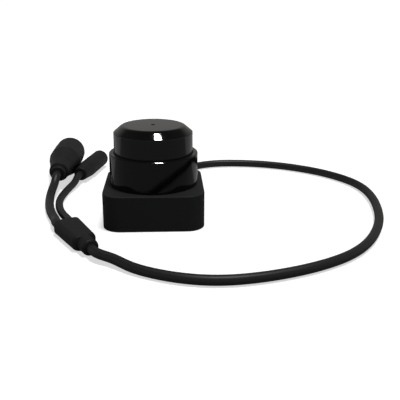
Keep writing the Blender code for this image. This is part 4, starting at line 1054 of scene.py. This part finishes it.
def make_sintered_ferrite():
    """Sintered ferrite: charcoal, dull and slightly porous, with pores 0.4 mm across."""
    material, tree, shader, place = new_material("sintered_ferrite")
    pores = add_node(tree, "ShaderNodeTexVoronoi", {"Vector": place, "Scale": 1 / (0.4 * MM)})
    colour = add_node(
        tree, "ShaderNodeMix", {0: pores, 6: linear("#2a2a2c"), 7: linear("#3c3c3f")},
        data_type="RGBA",
    )
    bump = add_node(
        tree, "ShaderNodeBump", {"Height": pores, "Strength": 0.4, "Distance": 0.03 * MM}
    )
    feed(tree, shader, {"Base Color": colour, "Roughness": 0.6, "Normal": bump})
    return material


finish_nodes(make_turned_aluminium(), "motor_bracket", "filter_capacitor")
finish_nodes(drawn_nickel, "lower_bearing", "upper_bearing", "stator_core", "shaft")
finish_nodes(
    make_enamelled_copper(),
    "primary_coil", "secondary_coil", *(f"stator_coil_{number}" for number in range(1, 7)),
)
finish_nodes(make_sintered_ferrite(), "magnet_ring")
finish_nodes(black_oxide_steel, "rotor_bell")


# Optical head: a turntable and an optics frame moulded in the same satin ABS as the base, with two
# coated lenses, spinning together under the window cap.

def make_coated_glass():
    """Coated lens glass, drawn opaque: painted shade of the dark body behind it, and a painted
    bluish reflection of its coating.
    """
    material, tree, shader, place = new_material("coated_glass")
    haze = add_node(
        tree, "ShaderNodeTexNoise", {"Vector": place, "Scale": 1 / (1.2 * MM), "Detail": 3.0}
    )
    # Painted shade and painted reflection: dark blues for the dark body seen through the glass and
    # the coating's bluish reflection.
    colour = add_node(
        tree, "ShaderNodeMix", {0: haze, 6: linear("#141b2a"), 7: linear("#1f2a40")},
        data_type="RGBA",
    )
    roughness = add_node(
        tree, "ShaderNodeMapRange", {"Value": haze, "To Min": 0.02, "To Max": 0.08}
    )
    feed(
        tree, shader,
        {"Base Color": colour, "Roughness": roughness, "IOR": 1.6, "Coat Weight": 1.0},
    )
    return material


finish_nodes(eroded_abs, "turntable", "optics_frame")
finish_nodes(make_coated_glass(), "receiver_lens", "emitter_lens")


# Studio: a white sheet and backdrop that only the camera sees, a grey floor under them, paler
# behind the object, that only the object reflects, one lamp nearly overhead and a dim room.

SHEET_REACH = 1.5
GREY_FLOOR_REACH = 12.0
PALE_FLOOR_REACH = 1.0
BACKDROP_RADIUS = 3.5
SHEET_LOW = -0.10 * MM
GREY_FLOOR_LOW = -0.30 * MM
PALE_FLOOR_LOW = -0.20 * MM
PALE_FLOOR_FROM = 0.037
LAMP_WAY = (0.132, -0.071, 0.988)
LAMP_DISTANCE = 10.0
LAMP_SIZE = (1.9, 0.9)
LAMP_WATTS = 430.0
ROOM_TONES = [
    (0.0, (0.31, 0.305, 0.295)), (0.42, (0.28, 0.275, 0.265)),
    (0.62, (0.08, 0.08, 0.08)), (1.0, (0.07, 0.07, 0.07)),
]


def add_stage(name, mesh, material, seen_by_camera):
    """Put in a part of the studio that either the camera alone sees, or the object alone."""
    mesh.materials.append(material)
    part = bpy.data.objects.new(name, mesh)
    scene.collection.objects.link(part)
    part.visible_camera = seen_by_camera
    part.visible_diffuse = part.visible_glossy = part.visible_transmission = not seen_by_camera
    part.visible_shadow = not seen_by_camera


def level_square(reach, height, back=0.0):
    """A level square whose middle is above or below the origin, or as far behind it as given."""
    mesh = bpy.data.meshes.new("square")
    corners = reach * np.array([(-1, -1, 0), (1, -1, 0), (1, 1, 0), (-1, 1, 0)]) + (0, back, height)
    mesh.from_pydata(corners.tolist(), [], [(0, 1, 2, 3)])
    return mesh


def ball(radius):
    """A ball: circles up its axis at the sine and the cosine of even turns."""
    turns = np.linspace(-0.49 * pi, 0.49 * pi, 33)
    ring = radius * np.cos(turns)
    rows = sections(np.stack([radius * np.sin(turns), ring, ring, ring], axis=1), 64)
    return skin("ball", rows, [(0, 0, -radius), (0, 0, radius)])


def make_glowing_white(name, grey, glow):
    """A back-lit matt white: its grey is what it gives back, and its glow is what it gives out."""
    material, tree, shader, place = new_material(name)
    feed(
        tree, shader,
        {
            "Base Color": (grey, grey, grey, 1.0), "Roughness": 1.0, "Specular IOR Level": 0.0,
            "Emission Color": (1.0, 1.0, 1.0, 1.0), "Emission Strength": glow,
        },
    )
    return material


def make_card(name, grey):
    """Plain grey card."""
    material, tree, shader, place = new_material(name)
    feed(tree, shader, {"Base Color": (grey, grey, grey, 1.0), "Roughness": 1.0})
    return material


white_sheet = make_glowing_white("white_sheet", 0.95, 0.60)
white_backdrop = make_glowing_white("white_backdrop", 0.0, 1.05)
grey_card = make_card("grey_card", 0.25)
pale_card = make_card("pale_card", 0.60)
pale_middle = PALE_FLOOR_REACH + PALE_FLOOR_FROM
pale_square = level_square(PALE_FLOOR_REACH, PALE_FLOOR_LOW, pale_middle)
add_stage("white_sheet", level_square(SHEET_REACH, SHEET_LOW), white_sheet, True)
add_stage("white_backdrop", ball(BACKDROP_RADIUS), white_backdrop, True)
add_stage("grey_floor", level_square(GREY_FLOOR_REACH, GREY_FLOOR_LOW), grey_card, False)
add_stage("pale_floor", pale_square, pale_card, False)

lamp = bpy.data.objects.new("lamp", bpy.data.lights.new("lamp", "AREA"))
scene.collection.objects.link(lamp)
lamp.data.shape = "RECTANGLE"
lamp.data.size, lamp.data.size_y = LAMP_SIZE
lamp.data.energy = LAMP_WATTS
lamp_way = np.array(LAMP_WAY) / np.linalg.norm(LAMP_WAY)
lamp_side = np.cross((0.0, 1.0, 0.0), lamp_way)
lamp_side /= np.linalg.norm(lamp_side)
lamp_turn = np.array([lamp_side, np.cross(lamp_way, lamp_side), lamp_way]).T
lamp.matrix_world = (
    Matrix.Translation(lamp_way * LAMP_DISTANCE) @ Matrix(lamp_turn.tolist()).to_4x4()
)


def make_room():
    """A room in tones that depend on the height of the direction looked in, darkest overhead."""
    room = bpy.data.worlds.new("room")
    room.use_nodes = True
    tree = room.node_tree
    way = tree.nodes.new("ShaderNodeTexCoord").outputs["Generated"]
    height = add_node(tree, "ShaderNodeSeparateXYZ", {"Vector": way}).node.outputs["Z"]
    ramp = tree.nodes.new("ShaderNodeValToRGB")
    tree.links.new(height, ramp.inputs["Fac"])
    stops = ramp.color_ramp.elements
    for position, tone in ROOM_TONES[1:-1]:
        stops.new(position)
    for stop, (position, tone) in zip(stops, ROOM_TONES):
        stop.position, stop.color = position, (*tone, 1.0)
    feed(tree, tree.nodes["Background"], {"Color": ramp.outputs["Color"], "Strength": 1.0})
    scene.world = room


make_room()
scene.view_settings.view_transform = "Standard"
